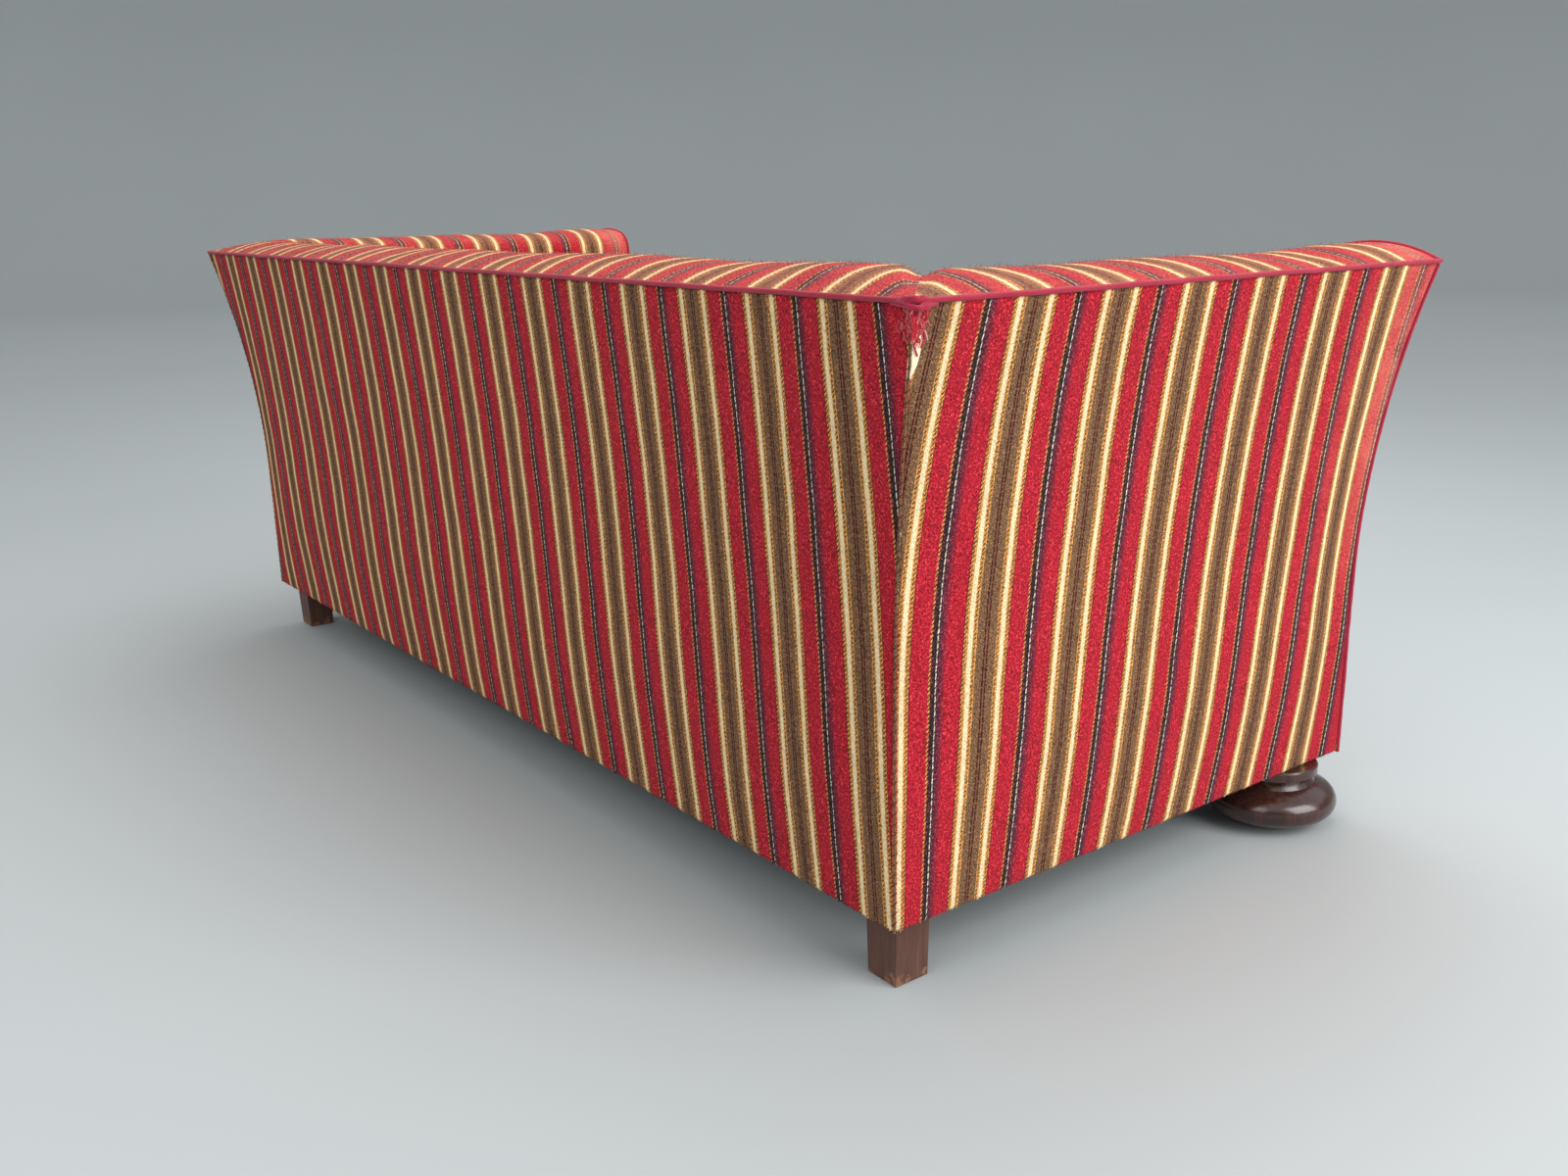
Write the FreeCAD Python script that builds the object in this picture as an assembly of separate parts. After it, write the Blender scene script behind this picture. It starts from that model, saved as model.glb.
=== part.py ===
import FreeCAD
import Part
import math
import os

# A three-seat sofa whose arms and back lean outward in one long curve.
# Millimetres. X runs along the length, the front faces -Y and Z is up.
# The origin lies on the floor, below the middle of the whole sofa.
# Left and right are those of someone who stands in front and looks at the sofa.

# Outer form
BASE_LENGTH = 1842.0  # over the outside arm covers at the hem
BASE_DEPTH = 786.0  # from the arm fronts to the outside back cover at the hem
ARM_FLARE = 76.0  # lean of each arm at its piped top edge
BACK_FLARE = 46.0  # lean of the back at its piped top edge
FLARE_START = 302.0  # height where the lean begins
TOP_EDGE = 725.0  # height of the piped top edge
HEM = 84.0  # height of the lower edge of the covers

# Padded top and inside faces of arms and back
CROWN = 20.0  # rise of the padded top over the piped edge
CROWN_REACH = 85.0  # from the piped edge in to the highest line
ROLL_TURN = math.radians(15.0)  # slope of the top where the inner roll begins
ROLL_RADIUS = 38.0
ARM_SLOPE = math.radians(5.0)  # lean of the inside arm from upright
BACK_SLOPE = math.radians(10.0)  # rake of the inside back from upright

# Cloth, cord and clearances
COVER = 2.5  # cover cloth with its wadding
HESSIAN = 1.5
DUST_CLOTH = 0.8
PIPING_RADIUS = 3.5
FIT = 0.3  # between parts that lie against each other
HEM_TURN = 18.0  # cover turned in under the frame

# Hardwood frame
TIMBER = 25.0  # thickness of rails, posts and stiles
FRONT_POST_WIDTH = 60.0
REAR_POST = 45.0  # square section
FRAME_SETBACK = 0.5  # from the inside of a cover to the timber
SEAT_RAIL_HEIGHT = 110.0
TACK_RAIL_LOW = 215.0
TACK_RAIL_HEIGHT = 40.0
TOP_RAIL_HEIGHT = 50.0
TOP_RAIL_DROP = 35.0  # from the piped edge down to the top of the rail
STILE_WIDTH = 50.0
BACK_STILES = 3
CROSS_RAIL_WIDTH = 30.0
CROSS_RAIL_HEIGHT = 60.0
DOWEL_RADIUS = 5.0
DOWEL_LENGTH = 40.0
HOLE_CLEARANCE = 0.1

# Feet
BUN_RADIUS = 84.0
BUN_WAIST_HEIGHT = 33.0  # height of the widest ring
BUN_HALF_HEIGHT = 34.5  # of the whole ball, which the floor cuts
BUN_RIM = 20.0  # roundness of the widest ring
BUN_COLLAR_RADIUS = 58.0
BUN_COLLAR_HEIGHT = 14.0
BUN_GROOVE_RADIUS = 50.0
BUN_SHOULDER_RADIUS = 55.0
BUN_SEAT_RADIUS = 23.0  # raised boss that meets the frame
BUN_IN = 42.0  # axis of the foot, in from the arm cover
BUN_BACK = 84.0  # axis of the foot, back from the arm front
COLLAR_EASE = 2.0
STUD_RADIUS = 5.0
STUD_DEPTH = 50.0  # in the foot
NUT_WIDTH = 17.0  # across flats
NUT_HEIGHT = 8.0
FOOT_BLOCK_WIDTH = 90.0
FOOT_BLOCK_DEPTH = 110.0
FOOT_BLOCK_HEIGHT = 50.0
FOOT_BLOCK_CUT = 45.0  # corner sawn off the block
SCREW_RADIUS = 2.5
SCREW_HEAD_RADIUS = 5.0
SCREW_LENGTH = 60.0
SCREW_FROM_POST = 50.0  # screw in the side rail, behind the front post
SCREW_FROM_EDGE = 30.0  # screw in the front rail, out from the inner edge of the block
LEG_TOP = 48.0  # square section at the frame
LEG_FOOT = 45.0  # square section at the floor
LEG_INSET_TOP = 23.0  # from the covers at the frame
LEG_INSET_FOOT = 26.0  # from the covers at the floor
LEG_CHAMFER = 1.5
LEG_DOWEL_RADIUS = 8.0
LEG_DOWEL_LENGTH = 60.0

# Seat
WEB_WIDTH = 50.0
WEB_THICKNESS = 1.5
WEB_COLUMNS = 11
WEB_COLUMN_PITCH = 132.0
WEB_ROWS = 5
WEB_ROW_PITCH = 75.0
SEAT_MIDDLE_Y = -80.0  # middle row of webbing and springs
SPRING_END_RADIUS = 45.0
SPRING_WAIST_RADIUS = 30.0
SPRING_TURNS = 4.5
SPRING_STEPS = 8  # straight lengths in one turn of wire
SPRING_WIRE = 1.7  # half the thickness of the wire
HESSIAN_DROP = 5.0  # seat hessian below the top of the tacking rails
SEAT_PADDING = 32.0  # from the tacking rails up to the platform cloth
EDGE_ROLL_DEPTH = 34.0
BORDER_SETBACK = 5.0  # front border behind the arm fronts

# Loose cushions
CUSHION_NAMES = ("left", "centre", "right")
CUSHION_SETBACK = 10.0
CUSHION_BORDER = 112.0  # height of the boxed sides
CUSHION_CROWN = 24.0
CUSHION_GAP = 1.0

V = FreeCAD.Vector

# Places that several parts share
HALF = BASE_LENGTH / 2
FRONT = -(BASE_DEPTH + BACK_FLARE) / 2
REAR = FRONT + BASE_DEPTH
SIDE_EDGE = HALF + ARM_FLARE
REAR_EDGE = REAR + BACK_FLARE
FRAME_IN = COVER + FRAME_SETBACK
RAIL_IN = FRAME_IN + TIMBER
POST_IN = FRAME_IN + REAR_POST
PIPING_ROOM = PIPING_RADIUS + FRAME_SETBACK
WEAVE = WEB_THICKNESS + FIT  # height between the two levels of a weave
WEB_LOW = HEM + DUST_CLOTH + FIT / 2
WEB_TOP = WEB_LOW + WEB_THICKNESS + WEAVE
FRAME_LOW = WEB_TOP
SEAT_RAIL_TOP = FRAME_LOW + SEAT_RAIL_HEIGHT
TACK_RAIL_TOP = TACK_RAIL_LOW + TACK_RAIL_HEIGHT
TUCK = TACK_RAIL_TOP  # lower edge of the inside covers and stuffing
HESSIAN_LOW = TACK_RAIL_TOP - HESSIAN_DROP
DECK_TOP = TACK_RAIL_TOP + SEAT_PADDING
TOP_RAIL_TOP = TOP_EDGE - TOP_RAIL_DROP
TOP_RAIL_LOW = TOP_RAIL_TOP - TOP_RAIL_HEIGHT
LINING_IN = RAIL_IN + FIT
STUFFING_IN = LINING_IN + HESSIAN + FIT
POST_REAR = FRONT + FRAME_IN + FRONT_POST_WIDTH
BORDER_REAR = FRONT + BORDER_SETBACK + COVER
FRONT_RAIL_FRONT = BORDER_REAR + FRAME_SETBACK
FRONT_RAIL_REAR = FRONT_RAIL_FRONT + TIMBER
CEILING = TOP_EDGE + 2 * CROWN
BUN_X = HALF - BUN_IN
BUN_Y = FRONT + BUN_BACK
LEG_DOWEL_IN = (LEG_INSET_TOP + POST_IN) / 2  # middle of the leg where it lies under the post


def line(start, end):
    return Part.LineSegment(start, end).toShape()


def arc(start, middle, end):
    return Part.Arc(start, middle, end).toShape()


def at(out, up):
    return V(out, 0, up)


def inward(angle):
    """Direction that leans in from straight up by an angle."""
    return at(-math.sin(angle), math.cos(angle))


def face_of(edges):
    return Part.Face(Part.Wire(Part.__sortEdges__(edges)))


def chain(points):
    """Straight edges through points, one after another."""
    return [line(a, b) for a, b in zip(points, points[1:])]


def box(x_from, x_to, y_from, y_to, z_from, z_to):
    return Part.makeBox(x_to - x_from, y_to - y_from, z_to - z_from, V(x_from, y_from, z_from))


def upright_prism(corners, z_from, z_to):
    """Plan outline raised between two heights."""
    points = [V(x, y, z_from) for x, y in corners]
    return face_of(chain(points + points[:1])).extrude(V(0, 0, z_to - z_from))


def mirrored(shape):
    return shape.mirror(V(0, 0, 0), V(1, 0, 0))


def pair(shape):
    return Part.makeCompound([mirrored(shape), shape])


def cord(edges, radius):
    """Round cord along a chain of edges that joins smoothly."""
    path = Part.Wire(edges)
    first = path.OrderedEdges[0]
    start = path.OrderedVertexes[0].Point
    end = first.FirstParameter
    if (first.valueAt(end) - start).Length > FIT:
        end = first.LastParameter
    ring = Part.Wire([Part.Circle(start, first.tangentAt(end), radius).toShape()])
    return path.makePipeShell([ring], True, False)


def round_corner(corner, before, after, radius):
    """Start, middle and end of a quarter bend that rounds one corner of a path."""
    into = (corner - before).normalize()
    out = (after - corner).normalize()
    start = corner - into * radius
    end = corner + out * radius
    middle = start + out * radius + (into - out).normalize() * radius
    return start, middle, end


def rounded_path(points, radius, closed):
    """Straight runs through points with a quarter bend at every inner corner."""
    edges = []
    count = len(points)
    last = points[0]
    corners = range(count) if closed else range(1, count - 1)
    bends = [round_corner(points[i], points[i - 1], points[(i + 1) % count], radius) for i in corners]
    if closed:
        last = bends[-1][2]
    for start, middle, end in bends:
        edges.append(line(last, start))
        edges.append(arc(start, middle, end))
        last = end
    if not closed:
        edges.append(line(last, points[-1]))
    return edges


class Wall:
    """Section of an arm or of the back: out is 0 at the outer face of the base, up is Z."""

    def __init__(self, flare, slope):
        rise = TOP_EDGE - FLARE_START
        self.flare = flare
        self.slope = slope
        self.bend = (rise ** 2 + flare ** 2) / (2 * flare)
        self.dome = (CROWN_REACH ** 2 + CROWN ** 2) / (2 * CROWN)
        self.dome_centre = at(flare - CROWN_REACH, TOP_EDGE + CROWN - self.dome)
        self.roll_centre = self.dome_centre + inward(ROLL_TURN) * (self.dome - ROLL_RADIUS)

    def face(self, inset, up):
        """Outer face at a height, moved in by an inset."""
        if up <= FLARE_START:
            return -inset
        return self.bend - math.sqrt((self.bend + inset) ** 2 - (up - FLARE_START) ** 2)

    def face_edges(self, inset, low, high):
        """Outer face between two heights: upright first, then one arc."""
        edges = []
        if low < FLARE_START:
            top = min(high, FLARE_START)
            edges.append(line(at(-inset, low), at(-inset, top)))
        if high > FLARE_START:
            start = max(low, FLARE_START)
            heights = (start, (start + high) / 2, high)
            edges.append(arc(*[at(self.face(inset, up), up) for up in heights]))
        return edges

    def inner(self, inset, up):
        """Inside face at a height, moved in by an inset."""
        top = self.roll_centre + inward(math.pi / 2 - self.slope) * (ROLL_RADIUS - inset)
        return top.x - (top.z - up) * math.tan(self.slope)

    def top_edges(self, inset, start_out, end_up):
        """Over the crown, round the inner roll and down the inside face."""
        dome = self.dome - inset
        roll = ROLL_RADIUS - inset
        roll_end = math.pi / 2 - self.slope
        first = math.asin((self.dome_centre.x - start_out) / dome)
        crown = [self.dome_centre + inward(a) * dome for a in (first, (first + ROLL_TURN) / 2, ROLL_TURN)]
        turns = (ROLL_TURN, (ROLL_TURN + roll_end) / 2, roll_end)
        bend = [self.roll_centre + inward(a) * roll for a in turns]
        return [arc(*crown), arc(*bend), line(bend[2], at(self.inner(inset, end_up), end_up))]

    def corner(self, face_inset, top_inset):
        """Where the outer face and the padded top meet, each moved in by its own inset."""
        up = TOP_EDGE
        dome = self.dome - top_inset
        for _ in range(20):
            out = self.face(face_inset, up)
            up = self.dome_centre.z + math.sqrt(dome ** 2 - (out - self.dome_centre.x) ** 2)
        return at(out, up)

    def band(self, near, far, low, high):
        """Strip of the wall between two depths and two heights."""
        edges = self.face_edges(near, low, high) + self.face_edges(far, low, high)
        for up in (low, high):
            edges.append(line(at(self.face(near, up), up), at(self.face(far, up), up)))
        return face_of(edges)

    def inside_strip(self, near, far, start_out, end_up):
        """Cloth strip from the piping over the top and down the inside."""
        outer = self.top_edges(near, start_out, end_up)
        inner = self.top_edges(far, start_out, end_up)
        ends = []
        for path in (outer, inner):
            wire = Part.Wire(path)
            ends.append((wire.OrderedVertexes[0].Point, wire.OrderedVertexes[-1].Point))
        joins = [line(ends[0][0], ends[1][0]), line(ends[0][1], ends[1][1])]
        return face_of(outer + inner + joins)

    def stuffing_section(self):
        """Stuffing inside the lining and over the top rail."""
        inset = COVER + FIT
        floor = TOP_RAIL_TOP + FIT
        rail_side = FRAME_IN + FIT
        corner = self.corner(rail_side, inset)
        edges = self.top_edges(inset, corner.x, TUCK)
        edges += self.face_edges(STUFFING_IN, TUCK, floor)
        edges += self.face_edges(rail_side, floor, corner.z)
        edges.append(line(at(self.inner(inset, TUCK), TUCK), at(self.face(STUFFING_IN, TUCK), TUCK)))
        edges.append(line(at(self.face(STUFFING_IN, floor), floor), at(self.face(rail_side, floor), floor)))
        return face_of(edges)

    def facing_section(self):
        """Whole end of the wall inside its piped edge, down to the hem."""
        corner = self.corner(PIPING_ROOM, PIPING_ROOM)
        inside = self.inner(0, TUCK)
        edges = self.face_edges(PIPING_ROOM, HEM, corner.z)
        edges += self.top_edges(PIPING_ROOM, corner.x, DECK_TOP)
        rest = [at(self.inner(PIPING_ROOM, DECK_TOP), DECK_TOP), at(inside, DECK_TOP), at(inside, HEM)]
        return face_of(edges + chain(rest + [at(-PIPING_ROOM, HEM)]))


ARM = Wall(ARM_FLARE, ARM_SLOPE)
BACK = Wall(BACK_FLARE, BACK_SLOPE)
SEAT_HALF = HALF + ARM.inner(0, TUCK) - FIT
SEAT_REAR = REAR + BACK.inner(0, TUCK) - FIT


def arm_prism(section, y_from, y_to):
    """Right-hand piece: a section swept from front to rear."""
    solid = section.extrude(V(0, y_to - y_from, 0))
    solid.translate(V(HALF, y_from, 0))
    return solid


def back_prism(section, x_from, x_to):
    """Piece of the back: a section swept from left to right."""
    solid = section.extrude(V(0, x_to - x_from, 0))
    solid.rotate(V(0, 0, 0), V(0, 0, 1), 90)
    solid.translate(V(x_to, REAR, 0))
    return solid


def between_arms(inset):
    """Everything between the outer faces of both arms, moved in by an inset."""
    right = ARM.face_edges(inset, 0, CEILING)
    for edge in right:
        edge.translate(V(HALF, 0, 0))
    left = [mirrored(edge) for edge in right]
    ends = []
    for up in (0, CEILING):
        reach = HALF + ARM.face(inset, up)
        ends.append(line(at(-reach, up), at(reach, up)))
    solid = face_of(right + left + ends).extrude(V(0, 2 * BASE_DEPTH, 0))
    solid.translate(V(0, -BASE_DEPTH, 0))
    return solid


def before_back(inset):
    """Everything in front of the outer face of the back, moved in by an inset."""
    edges = BACK.face_edges(inset, 0, CEILING)
    far = -2 * BASE_DEPTH
    ends = [at(BACK.face(inset, CEILING), CEILING), at(far, CEILING), at(far, 0), at(-inset, 0)]
    return back_prism(face_of(edges + chain(ends)), -BASE_LENGTH, BASE_LENGTH)


def arm_side(shape):
    """Part of a right-hand piece on its own side of the mitred rear corner."""
    reach = BASE_DEPTH / 2
    far = 2 * SIDE_EDGE
    corners = [(SIDE_EDGE, REAR_EDGE - FIT), (SIDE_EDGE - reach, REAR_EDGE - FIT - reach)]
    corners += [(SIDE_EDGE - reach, 2 * FRONT), (far, 2 * FRONT), (far, REAR_EDGE - FIT)]
    return shape.common(upright_prism(corners, 0, CEILING))


def back_side(shape):
    """Part of a back piece between the two mitred rear corners."""
    reach = BASE_DEPTH / 2
    far = 2 * REAR_EDGE
    half = [(SIDE_EDGE, far), (SIDE_EDGE, REAR_EDGE), (SIDE_EDGE - reach, REAR_EDGE - reach)]
    corners = half + [(-x, y) for x, y in reversed(half)]
    return shape.common(upright_prism(corners, 0, CEILING))


# Frame joints: every rail end has two dowels
def dowel_heights(low, high):
    return (low + (high - low) / 4, high - (high - low) / 4)


def dowel_spots():
    """Middle and direction of each dowel on the right half."""
    spots = []
    middle = FRAME_IN + TIMBER / 2
    bands = ((FRAME_LOW, SEAT_RAIL_TOP), (TACK_RAIL_LOW, TACK_RAIL_TOP), (TOP_RAIL_LOW, TOP_RAIL_TOP))
    for low, high in bands:
        for up in dowel_heights(low, high):
            arm_x = HALF + ARM.face(middle, up)
            spots.append((V(arm_x, POST_REAR, up), V(0, 1, 0)))
            spots.append((V(arm_x, REAR + BACK.face(POST_IN, up), up), V(0, 1, 0)))
            spots.append((V(HALF + ARM.face(POST_IN, up), REAR + BACK.face(middle, up), up), V(1, 0, 0)))
    front_y = FRONT_RAIL_FRONT + TIMBER / 2
    for up in dowel_heights(FRAME_LOW, SEAT_RAIL_TOP):
        spots.append((V(HALF - RAIL_IN, front_y, up), V(1, 0, 0)))
    return spots


def rod(middle, direction, radius, length):
    return Part.makeCylinder(radius, length, middle - direction * (length / 2), direction)


DOWELS = [rod(spot, way, DOWEL_RADIUS, DOWEL_LENGTH) for spot, way in dowel_spots()]
DOWEL_HOLES = []
for spot, way in dowel_spots():
    hole = rod(spot, way, DOWEL_RADIUS + HOLE_CLEARANCE, DOWEL_LENGTH + 2 * FIT)
    DOWEL_HOLES += [hole, mirrored(hole)]


def drilled(shape, holes):
    """Shape with each hole cut that reaches into it."""
    near = [hole for hole in holes if hole.BoundBox.intersect(shape.BoundBox)]
    return shape.cut(near) if near else shape


# Screws driven from outside through the side rail and the front rail into each foot block
def screw_spots():
    up = FRAME_LOW + FOOT_BLOCK_HEIGHT / 2
    side = V(HALF - FRAME_IN, POST_REAR + SCREW_FROM_POST, up)
    front = V(HALF - RAIL_IN - FOOT_BLOCK_WIDTH + SCREW_FROM_EDGE, FRONT_RAIL_FRONT, up)
    return [(side, V(-1, 0, 0)), (front, V(0, 1, 0))]


def screw(start, way, ease):
    """Countersunk screw whose head lies flush at its start."""
    head_height = SCREW_HEAD_RADIUS - SCREW_RADIUS
    head = Part.makeCone(SCREW_HEAD_RADIUS + ease, SCREW_RADIUS + ease, head_height, start, way)
    shank = Part.makeCylinder(SCREW_RADIUS + ease, SCREW_LENGTH + ease, start, way)
    return head.fuse(shank).removeSplitter()


SCREWS = [screw(start, way, 0) for start, way in screw_spots()]
SCREW_HOLES = [screw(start, way, HOLE_CLEARANCE) for start, way in screw_spots()]
SCREW_HOLES += [mirrored(hole) for hole in SCREW_HOLES]


# Hardwood frame
def front_post():
    section = ARM.band(FRAME_IN, RAIL_IN, FRAME_LOW, TOP_RAIL_TOP)
    return drilled(arm_prism(section, FRONT + FRAME_IN, POST_REAR), DOWEL_HOLES)


def rear_post_form(grow):
    """Square post that leans both ways, each side enlarged by grow."""
    depths = (FRAME_IN - grow, POST_IN + grow, FRAME_LOW - grow, TOP_RAIL_TOP + grow)
    side = arm_prism(ARM.band(*depths), 0, 2 * REAR_EDGE)
    return side.common(back_prism(BACK.band(*depths), 0, 2 * SIDE_EDGE))


def rear_post():
    return drilled(rear_post_form(0), DOWEL_HOLES + [leg_dowel(HOLE_CLEARANCE)])


def arm_rail(low, high):
    """Rail of an arm from the front post to the rear post."""
    rail = arm_prism(ARM.band(FRAME_IN, RAIL_IN, low, high), POST_REAR, REAR_EDGE)
    return drilled(rail.common(before_back(POST_IN)), DOWEL_HOLES + SCREW_HOLES)


def back_rail(low, high):
    """Rail of the back between the rear posts."""
    rail = back_prism(BACK.band(FRAME_IN, RAIL_IN, low, high), -SIDE_EDGE, SIDE_EDGE)
    return drilled(rail.common(between_arms(POST_IN)), DOWEL_HOLES)


def front_rail():
    reach = HALF - RAIL_IN
    rail = box(-reach, reach, FRONT_RAIL_FRONT, FRONT_RAIL_REAR, FRAME_LOW, SEAT_RAIL_TOP)
    return drilled(rail, DOWEL_HOLES + SCREW_HOLES)


def cross_rails():
    """Two rails from front to rear that keep the long seat rails apart."""
    rails = []
    for x in (-2 * WEB_COLUMN_PITCH, 2 * WEB_COLUMN_PITCH):
        half = CROSS_RAIL_WIDTH / 2
        ends = (FRONT_RAIL_REAR, REAR - RAIL_IN, FRAME_LOW, FRAME_LOW + CROSS_RAIL_HEIGHT)
        rails.append(box(x - half, x + half, *ends))
    return Part.makeCompound(rails)


def arm_stile():
    middle = (POST_REAR + REAR - POST_IN) / 2
    section = ARM.band(FRAME_IN, RAIL_IN, TACK_RAIL_TOP, TOP_RAIL_LOW)
    return arm_prism(section, middle - STILE_WIDTH / 2, middle + STILE_WIDTH / 2)


def back_stiles():
    section = BACK.band(FRAME_IN, RAIL_IN, TACK_RAIL_TOP, TOP_RAIL_LOW)
    pitch = 2 * (HALF - POST_IN) / (BACK_STILES + 1)
    stiles = []
    for index in range(BACK_STILES):
        x = (index - (BACK_STILES - 1) / 2) * pitch
        stiles.append(back_prism(section, x - STILE_WIDTH / 2, x + STILE_WIDTH / 2))
    return Part.makeCompound(stiles)


def foot_block():
    """Corner block that takes the stud of a front foot."""
    x = HALF - RAIL_IN
    y = FRONT_RAIL_REAR
    inner = x - FOOT_BLOCK_WIDTH
    far = y + FOOT_BLOCK_DEPTH
    corners = [(x, y), (inner, y), (inner, far - FOOT_BLOCK_CUT), (inner + FOOT_BLOCK_CUT, far), (x, far)]
    block = upright_prism(corners, FRAME_LOW, FRAME_LOW + FOOT_BLOCK_HEIGHT)
    return drilled(block, [stud(HOLE_CLEARANCE)] + SCREW_HOLES)


# Feet
def bun_foot():
    """Turned front foot: squashed ball, groove, collar and a boss that meets the frame."""
    rim = at(BUN_RADIUS - BUN_RIM, BUN_WAIST_HEIGHT)
    spare = BUN_HALF_HEIGHT - BUN_RIM
    offset = (rim.x ** 2 + spare ** 2) / (2 * spare)
    broad = offset + BUN_RIM  # radius of the flat arcs above and below the rim
    lean = math.atan2(rim.x, offset - spare)  # where a flat arc runs into the rim

    def flat_arc(side, first, last):
        middle = BUN_WAIST_HEIGHT + side * (spare - offset)
        angles = (first, (first + last) / 2, last)
        return [at(broad * math.sin(a), middle + side * broad * math.cos(a)) for a in angles]

    upper = flat_arc(1, math.asin(BUN_SHOULDER_RADIUS / broad), lean)
    lower = flat_arc(-1, lean, math.acos((BUN_WAIST_HEIGHT - spare + offset) / broad))
    shoulder = upper[0]
    base = lower[-1]
    ball = [arc(*upper), arc(upper[-1], at(BUN_RADIUS, BUN_WAIST_HEIGHT), lower[0]), arc(*lower)]
    collar_top = HEM - FIT
    collar_low = collar_top - BUN_COLLAR_HEIGHT
    eased = BUN_COLLAR_RADIUS - COLLAR_EASE
    outline = [shoulder, at(BUN_GROOVE_RADIUS, (shoulder.z + collar_low) / 2), at(eased, collar_low)]
    outline.append(at(BUN_COLLAR_RADIUS, collar_low + COLLAR_EASE))
    outline.append(at(BUN_COLLAR_RADIUS, collar_top - COLLAR_EASE))
    outline += [at(eased, collar_top), at(BUN_SEAT_RADIUS, collar_top), at(BUN_SEAT_RADIUS, FRAME_LOW)]
    outline += [at(0, FRAME_LOW), at(0, 0), base]
    foot = face_of(ball + chain(outline)).revolve(V(0, 0, 0), V(0, 0, 1), 360)
    foot.translate(V(BUN_X, BUN_Y, 0))
    return drilled(foot, [stud(HOLE_CLEARANCE)])


def stud(ease):
    low = FRAME_LOW - STUD_DEPTH - ease
    high = FRAME_LOW + FOOT_BLOCK_HEIGHT + 2 * NUT_HEIGHT
    return Part.makeCylinder(STUD_RADIUS + ease, high - low, V(BUN_X, BUN_Y, low))


def foot_bolt():
    """Stud of a front foot and the nut that draws it up on top of the foot block."""
    corner = NUT_WIDTH / math.sqrt(3)
    turns = [math.radians(60 * step) for step in range(6)]
    corners = [(BUN_X + corner * math.cos(a), BUN_Y + corner * math.sin(a)) for a in turns]
    low = FRAME_LOW + FOOT_BLOCK_HEIGHT
    nut = upright_prism(corners, low, low + NUT_HEIGHT)
    return Part.makeCompound([stud(0), nut.cut(stud(HOLE_CLEARANCE))])


def square(inset, size, up):
    """Square under the right rear corner, set in from both covers."""
    x = HALF - inset
    y = REAR - inset
    points = [V(x, y, up), V(x - size, y, up), V(x - size, y - size, up), V(x, y - size, up)]
    return Part.makePolygon(points + points[:1])


def rear_leg():
    """Square leg with a slight taper and eased lower edges."""
    foot = square(LEG_INSET_FOOT, LEG_FOOT, 0)
    leg = Part.makeLoft([foot, square(LEG_INSET_TOP, LEG_TOP, FRAME_LOW)], True, True)
    low = [edge for edge in leg.Edges if edge.BoundBox.ZMax < LEG_CHAMFER]
    leg = leg.makeChamfer(LEG_CHAMFER, low)
    return drilled(leg, [leg_dowel(HOLE_CLEARANCE)])


def leg_dowel(ease):
    place = V(HALF - LEG_DOWEL_IN, REAR - LEG_DOWEL_IN, FRAME_LOW)
    return rod(place, V(0, 0, 1), LEG_DOWEL_RADIUS + ease, LEG_DOWEL_LENGTH + 2 * ease)


# Seat suspension
WEB_XS = [(index - (WEB_COLUMNS - 1) / 2) * WEB_COLUMN_PITCH for index in range(WEB_COLUMNS)]
WEB_YS = [SEAT_MIDDLE_Y + (index - (WEB_ROWS - 1) / 2) * WEB_ROW_PITCH for index in range(WEB_ROWS)]


def strap(crossings, over_first, start, end):
    """Woven strap along X: over and under the straps that it crosses, tacked up at both ends."""
    high = WEB_TOP - WEB_THICKNESS / 2
    flat = WEB_WIDTH / 2 + WEB_THICKNESS
    levels = [(start, high)]
    for index, place in enumerate(crossings):
        level = high if (index % 2 == 0) == over_first else high - WEAVE
        levels += [(place - flat, level), (place + flat, level)]
    levels.append((end, high))
    upper = [at(along, level + WEB_THICKNESS / 2) for along, level in levels]
    lower = [at(along, level - WEB_THICKNESS / 2) for along, level in reversed(levels)]
    solid = face_of(chain(upper + lower + upper[:1])).extrude(V(0, WEB_WIDTH, 0))
    solid.translate(V(0, -WEB_WIDTH / 2, 0))
    return solid


def webbing_lengthwise():
    reach = HALF - HEM_TURN - FIT
    straps = []
    for row, y in enumerate(WEB_YS):
        one = strap(WEB_XS, row % 2 == 0, -reach, reach)
        one.translate(V(0, y, 0))
        straps.append(one)
    return Part.makeCompound(straps)


def webbing_crosswise():
    straps = []
    for column, x in enumerate(WEB_XS):
        one = strap(WEB_YS, column % 2 == 1, FRONT_RAIL_FRONT, REAR - HEM_TURN - FIT)
        one.rotate(V(0, 0, 0), V(0, 0, 1), 90)
        one.translate(V(x, 0, 0))
        straps.append(one)
    return Part.makeCompound(straps)


def spring():
    """Waisted coil of wire from the webbing up to the hessian."""
    low = WEB_TOP + SPRING_WIRE + FIT
    rise = HESSIAN_LOW - FIT - SPRING_WIRE - low
    count = int(SPRING_TURNS * SPRING_STEPS)
    points = []
    for index in range(count + 1):
        part = index / count
        angle = 2 * math.pi * SPRING_TURNS * part
        radius = SPRING_WAIST_RADIUS + (SPRING_END_RADIUS - SPRING_WAIST_RADIUS) * (2 * part - 1) ** 2
        points.append(V(radius * math.cos(angle), radius * math.sin(angle), low + rise * part))
    along = (points[1] - points[0]).normalize()
    across = along.cross(V(0, 0, 1)).normalize() * SPRING_WIRE
    upward = across.cross(along)
    corners = [points[0] + across, points[0] + upward, points[0] - across, points[0] - upward]
    sharp_bends = 1
    wire = Part.makePolygon(corners + corners[:1])
    return Part.makePolygon(points).makePipeShell([wire], True, False, sharp_bends)


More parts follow.
